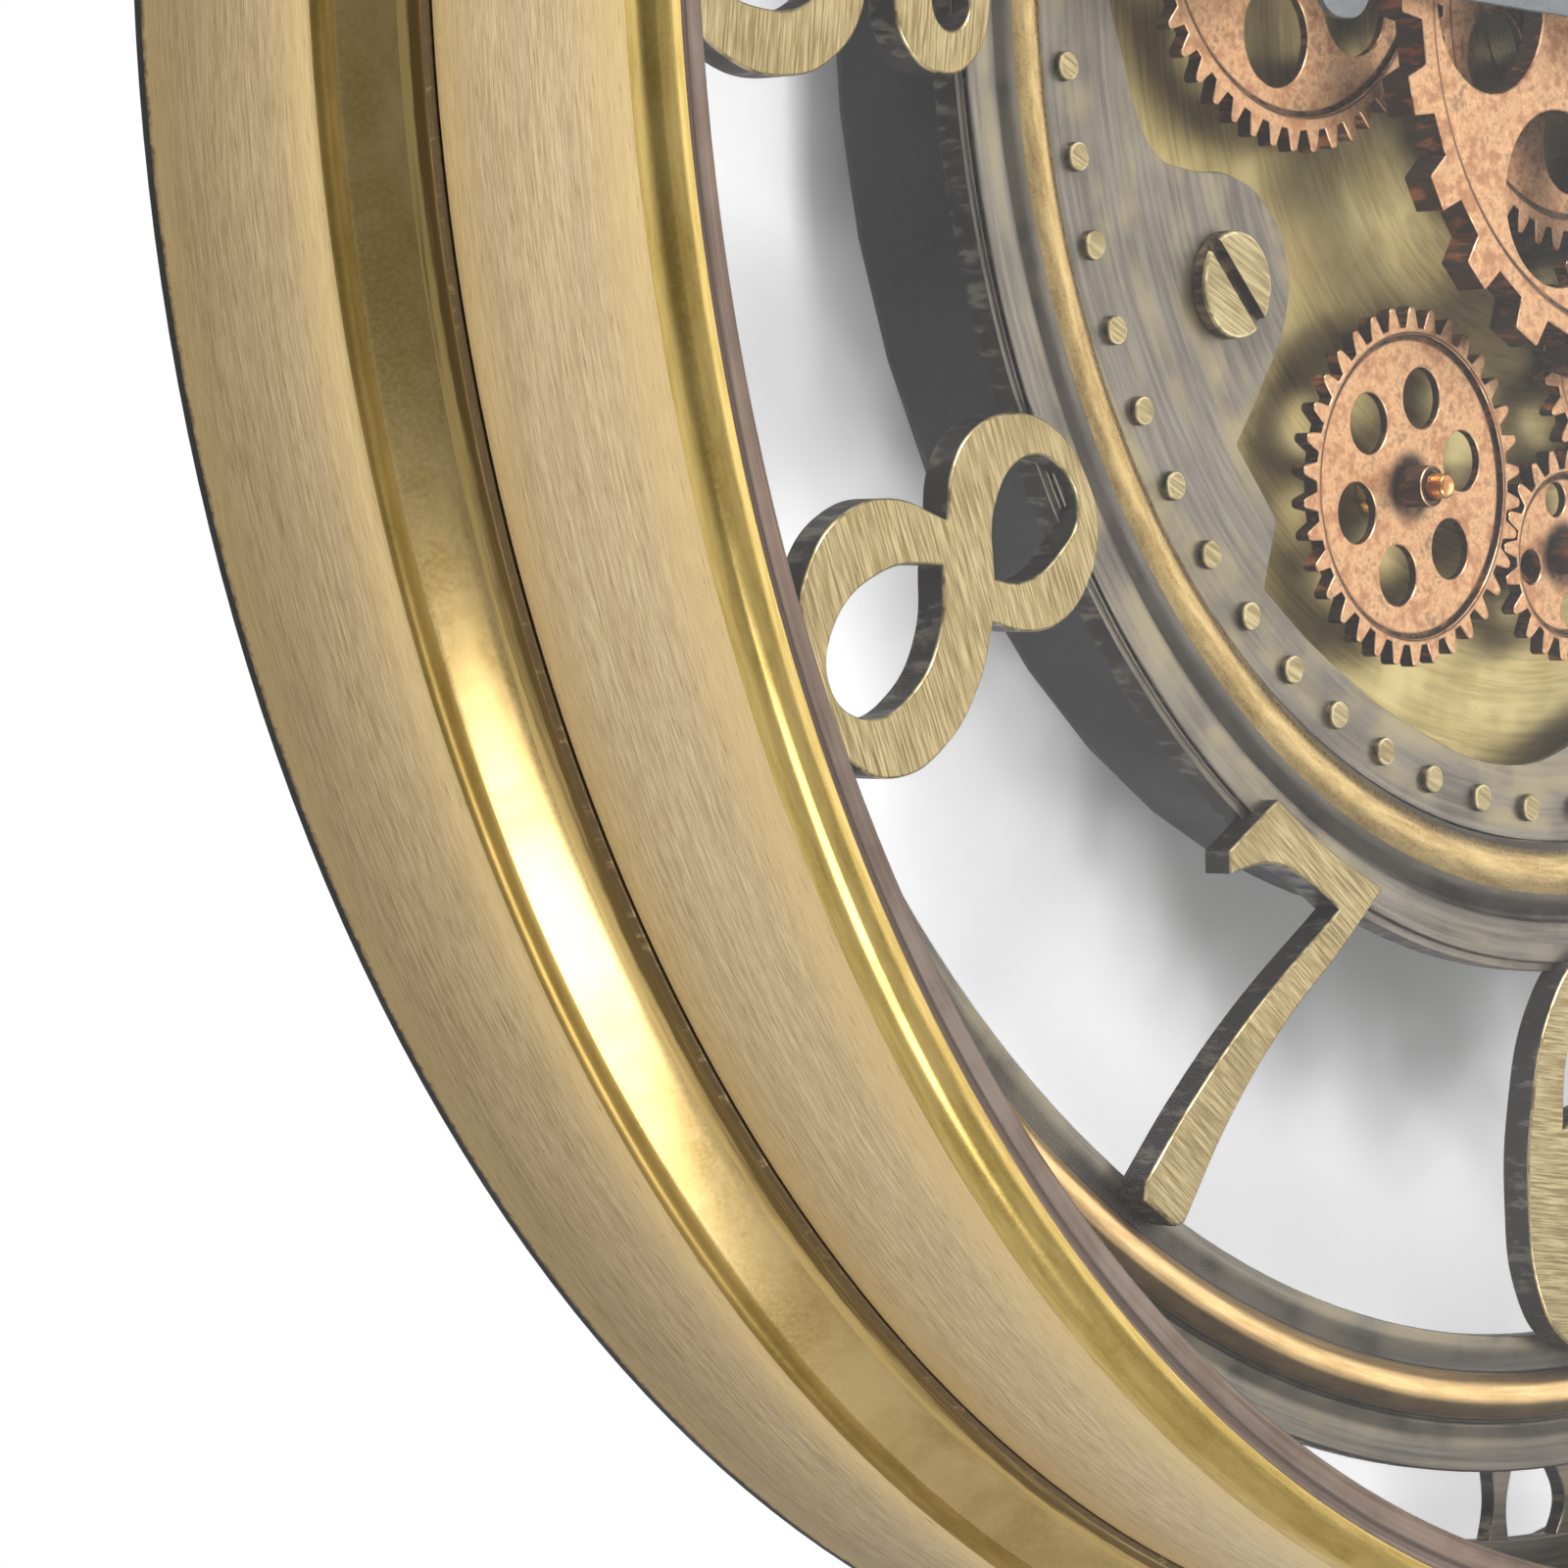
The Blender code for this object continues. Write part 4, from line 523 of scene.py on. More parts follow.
# Shape helpers
def keep(name, shape, finish, node=None, body="case", corner=32):
    """Makes a dial-frame shape a finished piece that rides on a body.

    The finish is a material, or a rule that picks one from a face's middle and normal. The
    node is the solid that it stands for.
    """
    mesh = to_mesh(shape)
    finishes = [finish]
    if callable(finish):
        picks = [finish(face.center, face.normal) for face in mesh.polygons]
        finishes = list(dict.fromkeys(picks))
        for face, pick in zip(mesh.polygons, picks):
            face.material_index = finishes.index(pick)
    for made in finishes:
        mesh.materials.append(made)
    mesh.transform(DIAL)
    mesh.name = name
    obj = bpy.data.objects.new(name, mesh)
    pieces.objects.link(obj)
    mesh.shade_smooth()
    mesh.set_sharp_from_angle(angle=math.radians(corner))
    even = obj.modifiers.new("even_shading", "WEIGHTED_NORMAL")
    even.keep_sharp = True
    even.weight = 80
    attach(obj, body)
    if node:
        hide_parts(node)
    return obj


def by_slope(front, edge, side, flat=0.95):
    """A rule: one finish for front faces, one for sloped edges, one for sides and backs."""
    def pick(centre, normal):
        if normal.z > flat:
            return front
        return edge if normal.z > 0.2 else side
    return pick


def ring_place(centre, normal):
    """How far a face is from the dial's axis, and how much it looks away from it."""
    radius = math.hypot(centre.x, centre.y)
    return radius, (normal.x * centre.x + normal.y * centre.y) / radius


def to_mesh(shape):
    mesh = bpy.data.meshes.new("piece")
    shape.to_mesh(mesh)
    shape.free()
    return mesh


def cleaned(shape):
    bmesh.ops.remove_doubles(shape, verts=shape.verts, dist=0.000001)
    bmesh.ops.recalc_face_normals(shape, faces=shape.faces)
    return shape


def moved(shape, centre, rise=0.0):
    bmesh.ops.translate(shape, verts=shape.verts, vec=(centre[0], centre[1], rise))
    return shape


def turned(shape, angle, axis="Z"):
    turn = Matrix.Rotation(angle, 3, axis)
    bmesh.ops.rotate(shape, verts=shape.verts, cent=(0, 0, 0), matrix=turn)
    return shape


def merged(first, *others):
    """One shape from several."""
    for other in others:
        mesh = to_mesh(other)
        first.from_mesh(mesh)
        bpy.data.meshes.remove(mesh)
    return first


def rounded(corners, steps=4):
    """A profile from (radius, height, fillet) corners, each fillet drawn as a short curve."""
    points = []
    count = len(corners)
    for i, (r, h, fillet) in enumerate(corners):
        here = Vector((r, h))
        if not fillet:
            points.append((r, h))
            continue
        before = Vector(corners[i - 1][:2]) - here
        after = Vector(corners[(i + 1) % count][:2]) - here
        start = here + before.normalized() * min(fillet, before.length * 0.48)
        end = here + after.normalized() * min(fillet, after.length * 0.48)
        for k in range(steps + 1):
            t = k / steps
            point = start * (1 - t) ** 2 + here * 2 * t * (1 - t) + end * t * t
            points.append((point.x, point.y))
    return points


def spun(profile, steps=96):
    """A closed or axis-to-axis profile turned about the dial's axis."""
    shape = bmesh.new()
    verts = [shape.verts.new((r, 0, h)) for r, h in profile]
    edges = [shape.edges.new(pair) for pair in zip(verts, verts[1:])]
    if profile[0][0] > 0:
        edges.append(shape.edges.new((verts[-1], verts[0])))
    bmesh.ops.spin(shape, geom=verts + edges, cent=(0, 0, 0), axis=(0, 0, 1),
                   angle=2 * math.pi, steps=steps, use_merge=True)
    return cleaned(shape)


def pipe(inner, outer, low, high, fillets, rounds, steps):
    """A pipe, or a rod if the inner radius is 0. Fillets run from the top inner edge round."""
    corners = zip((inner, outer, outer, inner), (high, high, low, low), fillets)
    return spun(rounded(list(corners), rounds), steps)


def stepped(inner, stem_r, collar_r, foot, collar, top, fillets, rounds, steps):
    """A stem or pipe with a wider collar at its foot."""
    radii = (inner, stem_r, stem_r, collar_r, collar_r, inner)
    corners = zip(radii, (top, top, collar, collar, foot, foot), (*fillets, 0, 0))
    return spun(rounded(list(corners), rounds), steps)


def around(radius, angle, centre=(0, 0)):
    return (centre[0] + radius * math.cos(angle), centre[1] + radius * math.sin(angle))


def circle(radius, centre=(0, 0), steps=48, clockwise=False):
    turns = [2 * math.pi * i / steps * (-1 if clockwise else 1) for i in range(steps)]
    return [around(radius, turn, centre) for turn in turns]


def plate(low, high, corners=(), smooth=(), edge=0.0002, resolution=8):
    """A flat shape between two heights with rounded edges: outlines inside the first are holes.

    Outlines under corners are straight from point to point. Those under smooth are curves,
    where a point with a third value is a corner.
    """
    curve = bpy.data.curves.new("outline", "CURVE")
    curve.dimensions = "2D"
    curve.fill_mode = "BOTH"
    curve.bevel_depth = edge
    curve.bevel_resolution = 2
    curve.offset = -edge
    curve.extrude = (high - low) / 2 - edge
    for points in corners:
        spline = curve.splines.new("POLY")
        spline.points.add(len(points) - 1)
        for point, (x, y) in zip(spline.points, points):
            point.co = (x, y, 0, 1)
        spline.use_cyclic_u = True
    for points in smooth:
        spline = curve.splines.new("BEZIER")
        spline.bezier_points.add(len(points) - 1)
        spline.resolution_u = resolution
        for knot, (x, y, *corner) in zip(spline.bezier_points, points):
            knot.co = (x, y, 0)
            knot.handle_left_type = "VECTOR" if corner else "AUTO"
            knot.handle_right_type = "VECTOR" if corner else "AUTO"
        spline.use_cyclic_u = True
    drawn = bpy.data.objects.new("outline", curve)
    mesh = bpy.data.meshes.new_from_object(drawn)
    bpy.data.objects.remove(drawn)
    bpy.data.curves.remove(curve)
    shape = bmesh.new()
    shape.from_mesh(mesh)
    bpy.data.meshes.remove(mesh)
    return moved(cleaned(shape), (0, 0), (low + high) / 2)


# Case and bezel
def case_and_bezel():
    case_shell()
    bezel()
    keep("glass", pipe(0, PANE_R, PANE_LOW, PANE_TOP, (0, 0.0004, 0.0004, 0), 2, 128), GLASS,
         "glass_pane")
    top = PANE_LOW - GAP
    low = top - 0.0033
    seal_in_r = PANE_R - 0.0074
    seal = [(PANE_R, top), (PANE_R, low), (seal_in_r, low), (seal_in_r, top)]
    seal = rounded([(*corner, 0.0008) for corner in seal], 3)
    keep("glass_seal", spun(seal, 192), RUBBER, "glass_gasket")


def case_shell():
    wall = CASE_R - 0.0022
    floor = 0.0018
    ledge_r = 0.281
    flange_r = 0.283
    shell = rounded([
        (ledge_r, GROOVE_H, 0), (GROOVE_R + 0.0003, GROOVE_H, 0.0004),
        (GROOVE_R + 0.0007, GROOVE_H - 0.0014, 0.0004), (LINES_R, CREASE_H + 0.0064, 0.0016),
        ((LINES_R + CREASE_R) / 2, CREASE_H + 0.0032, 0.0036),
        (CREASE_R + 0.0002, CREASE_H + 0.0004, 0.0012),
        (CASE_R - 0.0012, CREASE_H - 0.0002, 0.0014), (CASE_R - 0.0003, CREASE_H - 0.0030, 0.0020),
        (CASE_R - 0.0001, CREASE_H - 0.0130, 0.004),
        (CASE_R, 0.0016, 0), (CASE_R, 0.0, 0.0005), (flange_r, 0.0, 0.0003),
        (flange_r, floor, 0.0003), (wall, floor, 0.0005), (wall, CREASE_H - 0.011, 0.002),
        (CREASE_R - 0.0006, CREASE_H - 0.0022, 0.002),
        (GROOVE_R + 0.0012, CREASE_H + 0.0022, 0.002),
        (GROOVE_R - 0.0008, GROOVE_H - 0.0015, 0.0004), (ledge_r, GROOVE_H - 0.0015, 0),
    ], 6)

    def zone(centre, normal):
        radius, outward = ring_place(centre, normal)
        if outward < -0.05 or normal.z < -0.5:
            return INSIDE
        if centre.z < floor:
            return REAR_EDGE
        if radius < GROOVE_R + 0.0006:
            return GROOVE_SHADE
        if radius < LINES_R + 0.0002:
            return GROOVE_LINES
        if radius > CREASE_R - 0.0001:
            return SHADED_CREST if centre.z > CREASE_H - 0.0011 else CASE_BAND
        return COVE

    keep("case_shell", spun(shell, 256), zone, "case_ring")


def bezel():
    low = GROOVE_H + GAP
    inside = GROOVE_R - 0.002
    seat = GROOVE_R - 0.0048
    lip_low = LIP_H - 0.0019
    lip_top = LIP_IN_R + 0.0070
    ring = rounded([
        (LIP_IN_R, LIP_H, 0.0004), (LIP_IN_R + 0.0040, LIP_H + 0.0004, 0.0006),
        (LIP_IN_R + 0.0050, LIP_H + 0.0012, 0.0004), (lip_top - 0.0006, BEZEL_TOP - 0.0010, 0.0003),
        (lip_top, BEZEL_TOP - 0.0010, 0.0002), (lip_top + 0.0003, BEZEL_TOP, 0.0003),
        (GROOVE_R - 0.0042, BEZEL_TOP, 0.0022), (GROOVE_R - 0.0010, BEZEL_TOP - 0.0016, 0.0024),
        (GROOVE_R, BEZEL_TOP - 0.0060, 0.002), (GROOVE_R, low, 0.0004), (inside, low, 0),
        (inside, BEZEL_TOP - 0.0150, 0.001), (seat, BEZEL_TOP - 0.0115, 0.001),
        (seat, lip_low, 0.0003), (LIP_IN_R, lip_low, 0.0004),
    ], 6)

    def zone(centre, normal):
        radius, outward = ring_place(centre, normal)
        if radius < lip_top and centre.z > LIP_H - 0.001:
            return LIP
        if normal.z < -0.3 or (outward < -0.4 and centre.z < BEZEL_TOP - 0.004):
            return INSIDE
        return ROLL if centre.z > BEZEL_TOP - 0.0044 else BEZEL_BAND

    keep("bezel", spun(ring, 256), zone, "bezel_ring")


case_and_bezel()


# Dial rings
def bar(width, low_r, high_r):
    half = width / 2
    middle = (low_r + high_r) / 2
    waist = half * 0.62
    return [(half, low_r, 1), (waist, middle), (half, high_r, 1),
            (-half, high_r, 1), (-waist, middle), (-half, low_r, 1)]


def outer_ring():
    """The wide ring with its bead, and the rim under the bezel that short bars hold it by."""
    low = DIAL_H - 0.004
    bead_r = 0.2436
    crest = DIAL_H + 0.0037
    band = rounded([
        (BAND_IN_R, DIAL_H, 0.0005), (bead_r - 0.0042, DIAL_H, 0.0005),
        (bead_r - 0.0036, DIAL_H + 0.0014, 0.0008), (bead_r - 0.0018, crest - 0.0002, 0.0014),
        (bead_r + 0.0018, crest, 0.0014), (bead_r + 0.0038, DIAL_H + 0.0012, 0.001),
        (bead_r + 0.0044, DIAL_H - 0.0006, 0.0004), (bead_r + 0.0052, DIAL_H, 0.0004),
        (BAND_R, DIAL_H, 0.0005), (BAND_R, low, 0.0004), (BAND_IN_R, low, 0.0004),
    ], 5)
    rim_r = GROOVE_R - 0.0016
    rim = rounded([
        (RIM_IN_R, DIAL_H, 0.0004), (rim_r - 0.0074, DIAL_H, 0.0004),
        (rim_r - 0.0070, DIAL_H + 0.0025, 0.0006), (rim_r, DIAL_H + 0.0025, 0.0004),
        (rim_r, low, 0.0003), (RIM_IN_R, low, 0.0003),
    ], 3)
    shape = merged(spun(band, 224), spun(rim, 224))
    for quarter in range(4):
        for offset, width in ((-5.3, 0.0062), (0, 0.016), (5.3, 0.0062)):
            outline = bar(width, BAND_R - 0.0008, RIM_IN_R + 0.0008)
            piece = plate(low + 0.0005, DIAL_H - 0.0005, smooth=[outline], edge=0.0004)
            merged(shape, turned(piece, math.radians(90 * quarter + offset)))

    def zone(centre, normal):
        radius, _ = ring_place(centre, normal)
        if abs(radius - bead_r) < 0.0040 and centre.z > DIAL_H + 0.0003:
            return OUTER_BEAD
        return RING if normal.z > 0.3 else NUMERAL_WALL

    keep("dial_outer", shape, zone, "dial_outer_ring")


def inner_ring():
    low = 0.0407
    step = 0.0422
    tuck_r = 0.141
    flange_r = 0.1672
    out_r = 0.1688
    out_h = 0.0453
    profile = rounded([
        (INNER_BEAD_IN_R, RIVET_PLATE_TOP + 0.0004, 0.0004), (0.1476, 0.0459, 0.0012),
        (0.1496, 0.0470, 0.0012), (0.1515, 0.0472, 0.0012), (0.1545, 0.0467, 0.0014),
        (0.1568, 0.0455, 0.0012), (0.1590, 0.0444, 0.0006), (0.1598, 0.0448, 0.0003),
        (0.1600, INNER_FLANGE_H, 0.0004), (flange_r, INNER_FLANGE_H, 0.0004),
        (flange_r, out_h, 0.0003), (out_r, out_h, 0.0003), (out_r, low, 0.0003), (tuck_r, low, 0),
        (tuck_r, step, 0), (INNER_BEAD_IN_R, step, 0),
    ], 5)

    def zone(centre, normal):
        radius, outward = ring_place(centre, normal)
        if normal.z < 0.2 and abs(outward) > 0.5:
            return NUMERAL_WALL
        # The bead's outer flank takes the darker ring bronze: painted shade
        return BEAD if 0.1474 < radius < 0.1552 else RING

    keep("dial_inner", spun(profile, 224), zone, "dial_inner_ring")


outer_ring()
inner_ring()

# Numerals, in millimetres from the foot, upright. A point with a third value is a corner.
EIGHT = [
    [
        (0, 74.2), (8.5, 72), (14.5, 65), (16, 56.5), (13, 48.5), (7.5, 42, 1), (13.8, 34.5),
        (18, 22.5), (16.3, 10), (8.5, 2), (-3, -0.2), (-15, 2.5), (-22.8, 10), (-25.2, 20.5),
        (-21.5, 31.5), (-12, 41, 1), (-18.5, 46.5), (-21, 54), (-18.5, 63.5), (-11, 71.5),
    ],
    [(1.8, 46, 1), (5.8, 52), (6.4, 62), (3, 69.3), (-4.5, 69.5), (-11, 62), (-8, 52)],
    [(-6.5, 36.5, 1), (2, 30.5), (6.8, 20), (4.5, 8.5), (-4, 4), (-11.5, 9.5), (-12.8, 24)],
]
SEVEN = [
    [
        (-12.5, 74, 1), (3, 73.2), (20.3, 74.3, 1), (14.5, 59), (7, 42), (1.3, 22), (-1.5, 1.5, 1),
        (-3.2, 0, 1), (-12.6, 0.3, 1), (-13.7, 3, 1), (-9, 20), (-1.5, 40), (11.3, 65.6, 1),
        (1, 65.7), (-9, 63.8), (-18, 57.3, 1), (-20, 60.5, 1), (-16.5, 67),
    ],
]
NINE = [
    [
        (-1, 74), (12, 71), (20, 61), (22.5, 46), (21.3, 29), (15.5, 12), (5, 2.2), (-7, 0.6),
        (-15.5, 5), (-17.8, 12.5), (-14.5, 20), (-7, 23.2), (0.8, 19.5), (4.5, 11.5, 1),
        (10.2, 19.5), (12.2, 33.5, 1), (3.5, 30), (-8, 30.6), (-16.3, 37.5), (-19.8, 49),
        (-17.5, 62), (-10.5, 71),
    ],
    [
        (0, 66.5), (7.2, 61), (10, 50), (6.5, 40.5), (-1, 37.2), (-7.8, 42.5), (-9.6, 54),
        (-6, 63.5),
    ],
    [(-6.3, 14.4), (-1.8, 10), (-6.3, 5.4), (-11, 10)],
]
ONE = [
    [
        (-10.5, 59, 1), (-4, 64), (0.5, 74, 1), (7, 74, 1), (5.8, 50), (5.8, 22), (9, 0, 1),
        (-8, 0, 1), (-4.6, 22), (-4.4, 55.5, 1), (-9.5, 53.5, 1),
    ],
]
TWO = [
    [
        (-20, 56.5), (-17, 67), (-5, 74), (9, 72.5), (18.5, 63), (18, 48), (8.5, 32),
        (-7.5, 11.5, 1), (4, 13), (19, 13.5, 1), (17, 0, 1), (-21, 0, 1), (-18, 10), (-8, 25),
        (3.5, 39), (8, 53), (4.5, 63), (-3, 64.5), (-8, 59), (-9.5, 52), (-15, 49.5),
    ],
]
THREE = [
    [
        (-18, 61), (-12, 70.5), (0, 74), (13, 70), (18, 59.5), (15, 48), (7.5, 41.5, 1),
        (17, 33.5), (20.5, 20), (15.5, 6.5), (2.5, 0), (-12, 2.5), (-20, 12), (-18, 20.5),
        (-11.5, 22), (-7.5, 15), (0, 9), (7.5, 13), (9.5, 23), (4.5, 32), (-4, 35, 1), (-4, 42, 1),
        (4, 46.5), (7.5, 55), (4, 63.5), (-3, 65), (-7.5, 58.5), (-13.5, 55),
    ],
]
FOUR = [
    [
        (-3.5, 74, 1), (8.5, 74, 1), (8.2, 50), (8.5, 29.7, 1), (17.5, 30.4, 1), (18, 20.2, 1),
        (8.8, 19.6, 1), (11, 0.4, 1), (-4.5, 0, 1), (-2.6, 19.2, 1), (-24, 20, 1), (-23.5, 28, 1),
        (-13, 48),
    ],
    [(-2.4, 30.3, 1), (-13, 30, 1), (-7.5, 41), (-2.2, 54, 1)],
]
FIVE = [
    [
        (-13.5, 74, 1), (2, 72.8), (17, 74.6, 1), (14.5, 63.5, 1), (0, 64.2), (-5.5, 64, 1),
        (-7.2, 48.5, 1), (3, 50), (15, 44), (20.5, 28), (16, 9), (3, 0), (-12, 2), (-19.5, 11),
        (-17.8, 19), (-11.5, 20.5), (-7.5, 14), (0.5, 9), (8, 14.5), (9.5, 28), (4, 38.5),
        (-4, 40.5), (-12.5, 35.5, 1), (-17.5, 36, 1),
    ],
]
NOUGHT = [
    [(0, 74), (12, 66), (17, 37), (12, 8), (0, 0), (-12, 8), (-17, 37), (-12, 66)],
    [(0, 64), (5.5, 55), (7, 37), (5.5, 19), (0, 10), (-5.5, 19), (-7, 37), (-5.5, 55)],
]
SIX = [[(-x, 74 - y, *corner) for x, y, *corner in outline] for outline in NINE]
NUMERALS = {
    1: [(ONE, 0)], 2: [(TWO, 0)], 3: [(THREE, 0)], 4: [(FOUR, 0)], 5: [(FIVE, 0)], 6: [(SIX, 0)],
    7: [(SEVEN, 0)], 8: [(EIGHT, 0)], 9: [(NINE, 0)], 10: [(ONE, -17.5), (NOUGHT, 4.2)],
    11: [(ONE, -8.8), (ONE, 7.4)], 12: [(ONE, -19), (TWO, 9.5)],
}


def facing(points, anticlockwise):
    """An outline in the wanted sense: its signed area is above 0 when it runs anticlockwise."""
    area = sum(a[0] * b[1] - b[0] * a[1] for a, b in zip(points, points[1:] + points[:1]))
    return points if (area > 0) == anticlockwise else points[::-1]


def digit(outlines, shift):
    smooth = [
        [((x + shift) * MM, y * MM, *corner) for x, y, *corner in facing(points, i == 0)]
        for i, points in enumerate(outlines)
    ]
    return plate(NUMERAL_LOW, NUMERAL_TOP, smooth=smooth, edge=0.0005, resolution=10)


def numerals():
    """The numerals 4 to 8 stand with their feet outwards, the others inwards."""
    for number, digits in NUMERALS.items():
        angle = math.radians(90 - 30 * number)
        outwards = 4 <= number <= 8
        foot = around(FOOT_OUT_R if outwards else FOOT_IN_R, angle)
        tilt = angle + math.radians(90 if outwards else -90)
        shape = merged(*[digit(outlines, shift) for outlines, shift in digits])
        face = brushed_face(f"numeral_face_{number}", (190, 172, 128), (132, 114, 73),
                            -tilt + math.radians(8))
        keep(f"number_{number}", moved(turned(shape, tilt), foot),
             by_slope(face, NUMERAL_EDGE, NUMERAL_WALL), f"numeral_{number}",
             corner=40)


numerals()

# Riveted plate: one lobe in millimetres from the dial's centre, repeated in each quarter
LOBE = [
    (-127.3, -3), (-123.8, -12.5), (-120.5, -21.5), (-115.5, -28), (-107, -30.2), (-96, -30.8),
    (-86.5, -35.6), (-81, -45), (-82, -55), (-88.3, -65.5), (-95.5, -75.5, 1), (-85, -88, 1),
    (-88.6, -99.6, 1), (-74.5, -109.8), (-49, -123.4), (-17, -131.6),
]


def turned_quarter(points, quarter):
    c = round(math.cos(quarter * math.pi / 2))
    s = round(math.sin(quarter * math.pi / 2))
    return [((x * c - y * s) * MM, (x * s + y * c) * MM, *corner) for x, y, *corner in points]


def stud(radius, low, high, edge, steps):
    """A short cylinder with a rounded front edge."""
    shape = bmesh.new()
    bmesh.ops.create_cone(shape, cap_ends=True, segments=steps, radius1=radius, radius2=radius,
                          depth=high - low)
    moved(shape, (0, 0), (low + high) / 2)
    rim = [e for e in shape.edges if all(v.co.z > high - 0.00001 for v in e.verts)]
    bmesh.ops.bevel(shape, geom=rim, offset=edge, segments=2, profile=0.5, affect="EDGES",
                    material=-1)
    return shape


def riveted_plate():
    inside = [point for quarter in range(4) for point in turned_quarter(LOBE, quarter)]
    rim = [(*point, 1) for point in circle(INNER_BEAD_IN_R - GAP, steps=160)]
    outlines = [facing(rim, True), facing(inside, False)]
    sheet = plate(RIVET_PLATE_LOW, RIVET_PLATE_TOP, smooth=outlines, resolution=10)
    keep("lobed_plate", sheet, by_slope(PLATE, NUMERAL_WALL, NUMERAL_WALL),
         "rivet_plate")
    studded = by_slope(STUD_FACE, STUD_EDGE, STUD_WALL)
    foot = RIVET_PLATE_TOP - 0.0004
    top = RIVET_PLATE_TOP + 0.0014
    places = [around(RIVET_CIRCLE_R, 2 * math.pi * i / RIVETS) for i in range(RIVETS)]
    rivets = merged(*[moved(stud(RIVET_R, foot, top, 0.00035, 20), place) for place in places])
    keep("rivets", rivets, studded)
    low = RIVET_PLATE_TOP + GAP
    top = low + SCREW_T
    for quarter in range(4):
        place = turned_quarter([(-98, -49)], quarter)[0]
        head = moved(stud(SCREW_R, low, top, 0.0006, 56), place)
        merged(head, moved(stud(0.0025, 0.0333, low, 0.0002, 20), place))
        screw = keep(f"screw_{quarter + 1}", head, studded,
                     f"plate_screw_{quarter + 1}")
        groove = bmesh.new()
        bmesh.ops.create_cube(groove, size=1)
        bmesh.ops.scale(groove, verts=groove.verts, vec=(0.024, 0.003, 0.003))
        turned(groove, math.radians(-47 + 90 * quarter))
        carve(screw, moved(groove, place, top), STUD_WALL)


def carve(obj, tool, finish):
    """Cuts a dial-frame shape out of a piece for good."""
    mesh = to_mesh(tool)
    mesh.transform(DIAL)
    mesh.materials.append(finish)
    cutter = bpy.data.objects.new("cutter", mesh)
    pieces.objects.link(cutter)
    step = obj.modifiers.new("cut", "BOOLEAN")
    step.operation = "DIFFERENCE"
    step.solver = "EXACT"
    step.material_mode = "TRANSFER"
    step.object = cutter
    graph = bpy.context.evaluated_depsgraph_get()
    made = bpy.data.meshes.new_from_object(obj.evaluated_get(graph))
    obj.modifiers.remove(step)
    old = obj.data
    obj.data = made
    made.name = obj.name
    bpy.data.meshes.remove(old)
    bpy.data.objects.remove(cutter)
    bpy.data.meshes.remove(mesh)


riveted_plate()


# Drum
def drum():
    wall = DRUM_R - 0.002
    ledge = 0.0342
    ledge_low = ledge - 0.0012
    ledge_r = wall - 0.007
    profile = rounded([
        (wall, DRUM_TOP, 0.0002), (DRUM_R, DRUM_TOP, 0.0003), (DRUM_R, DRUM_LOW, 0.0003),
        (wall, DRUM_LOW, 0), (wall, ledge_low, 0), (ledge_r, ledge_low, 0), (ledge_r, ledge, 0),
        (wall, ledge, 0),
    ], 3)
    keep("drum_wall", spun(profile, 192), DRUM, "movement_drum")


drum()

# Gears. A tooth is drawn as (level from root to tip, share of the pitch) points.
FINE_TOOTH = [(0, -0.33), (0.55, -0.215), (0.9, -0.138), (1, -0.06),
              (1, 0.06), (0.9, 0.138), (0.55, 0.215), (0, 0.33)]
COARSE_TOOTH = [(0, -0.265), (0.93, -0.197), (1, -0.185), (1, 0.185), (0.93, 0.197), (0, 0.265)]


def pitch_r(teeth):
    return MODULE * teeth / 2


def mesh_turn(first_teeth, first_turn, second_teeth, direction):
    """The turn that puts a gap of the second gear over a tooth of the first, met that way."""
    first_pitch = 2 * math.pi / first_teeth
    second_pitch = 2 * math.pi / second_teeth
    phase = ((direction - first_turn) / first_pitch) % 1
    return direction + math.pi + (phase + 0.5) * second_pitch


def toothed(teeth, turn, root, tip, tooth):
    pitch = 2 * math.pi / teeth
    return [
        around(root + (tip - root) * level, turn + (i + share) * pitch)
        for i in range(teeth) for level, share in tooth
    ]


def fine_teeth(teeth, turn):
    pitch = pitch_r(teeth)
    return toothed(teeth, turn, pitch - 1.2 * MODULE, pitch + 0.9 * MODULE, FINE_TOOTH)


def holes(count, hole_circle, radius, turn, steps=40):
    return [circle(radius, around(hole_circle, turn + 2 * math.pi * i / count), steps, True)
            for i in range(count)]


def gear(name, node, body, teeth, turn, centre, rim_r, windows, bore, hub_r, hub_low, hub_high):
    """A fine gear: rim with rounded teeth, recessed web with holes, and hub."""
    opening = circle(rim_r, steps=96, clockwise=True)
    rim = plate(FINE_LOW, FINE_TOP, corners=[fine_teeth(teeth, turn), opening], edge=0.00022)
    disc = [circle(rim_r + 0.0003, steps=96), circle(bore, steps=32, clockwise=True)]
    web = plate(FINE_LOW + 0.0003, FINE_TOP - 0.0009, corners=disc + windows, edge=0.0003)
    hub = pipe(bore, hub_r, hub_low, hub_high, (0.0003, 0.0005, 0.0002, 0), 3, 40)
    face = gear_face(name + "_copper", centre, rim_r - 0.0003, hub_r)
    keep(name, moved(merged(rim, web, hub), centre), by_slope(face, GEAR_EDGE, GEAR_WALL, 0.9),
         node, body, 35)


def post(name, node, centre, rise):
    foot = BACK_PLATE_TOP + GAP
    shape = stepped(0, 0.0022, 0.005, foot, foot + COLLAR_T, FINE_TOP + rise,
                    (0, 0.0009, 0.0003, 0.0004), 4, 32)
    keep(name, moved(shape, centre), POST, node)


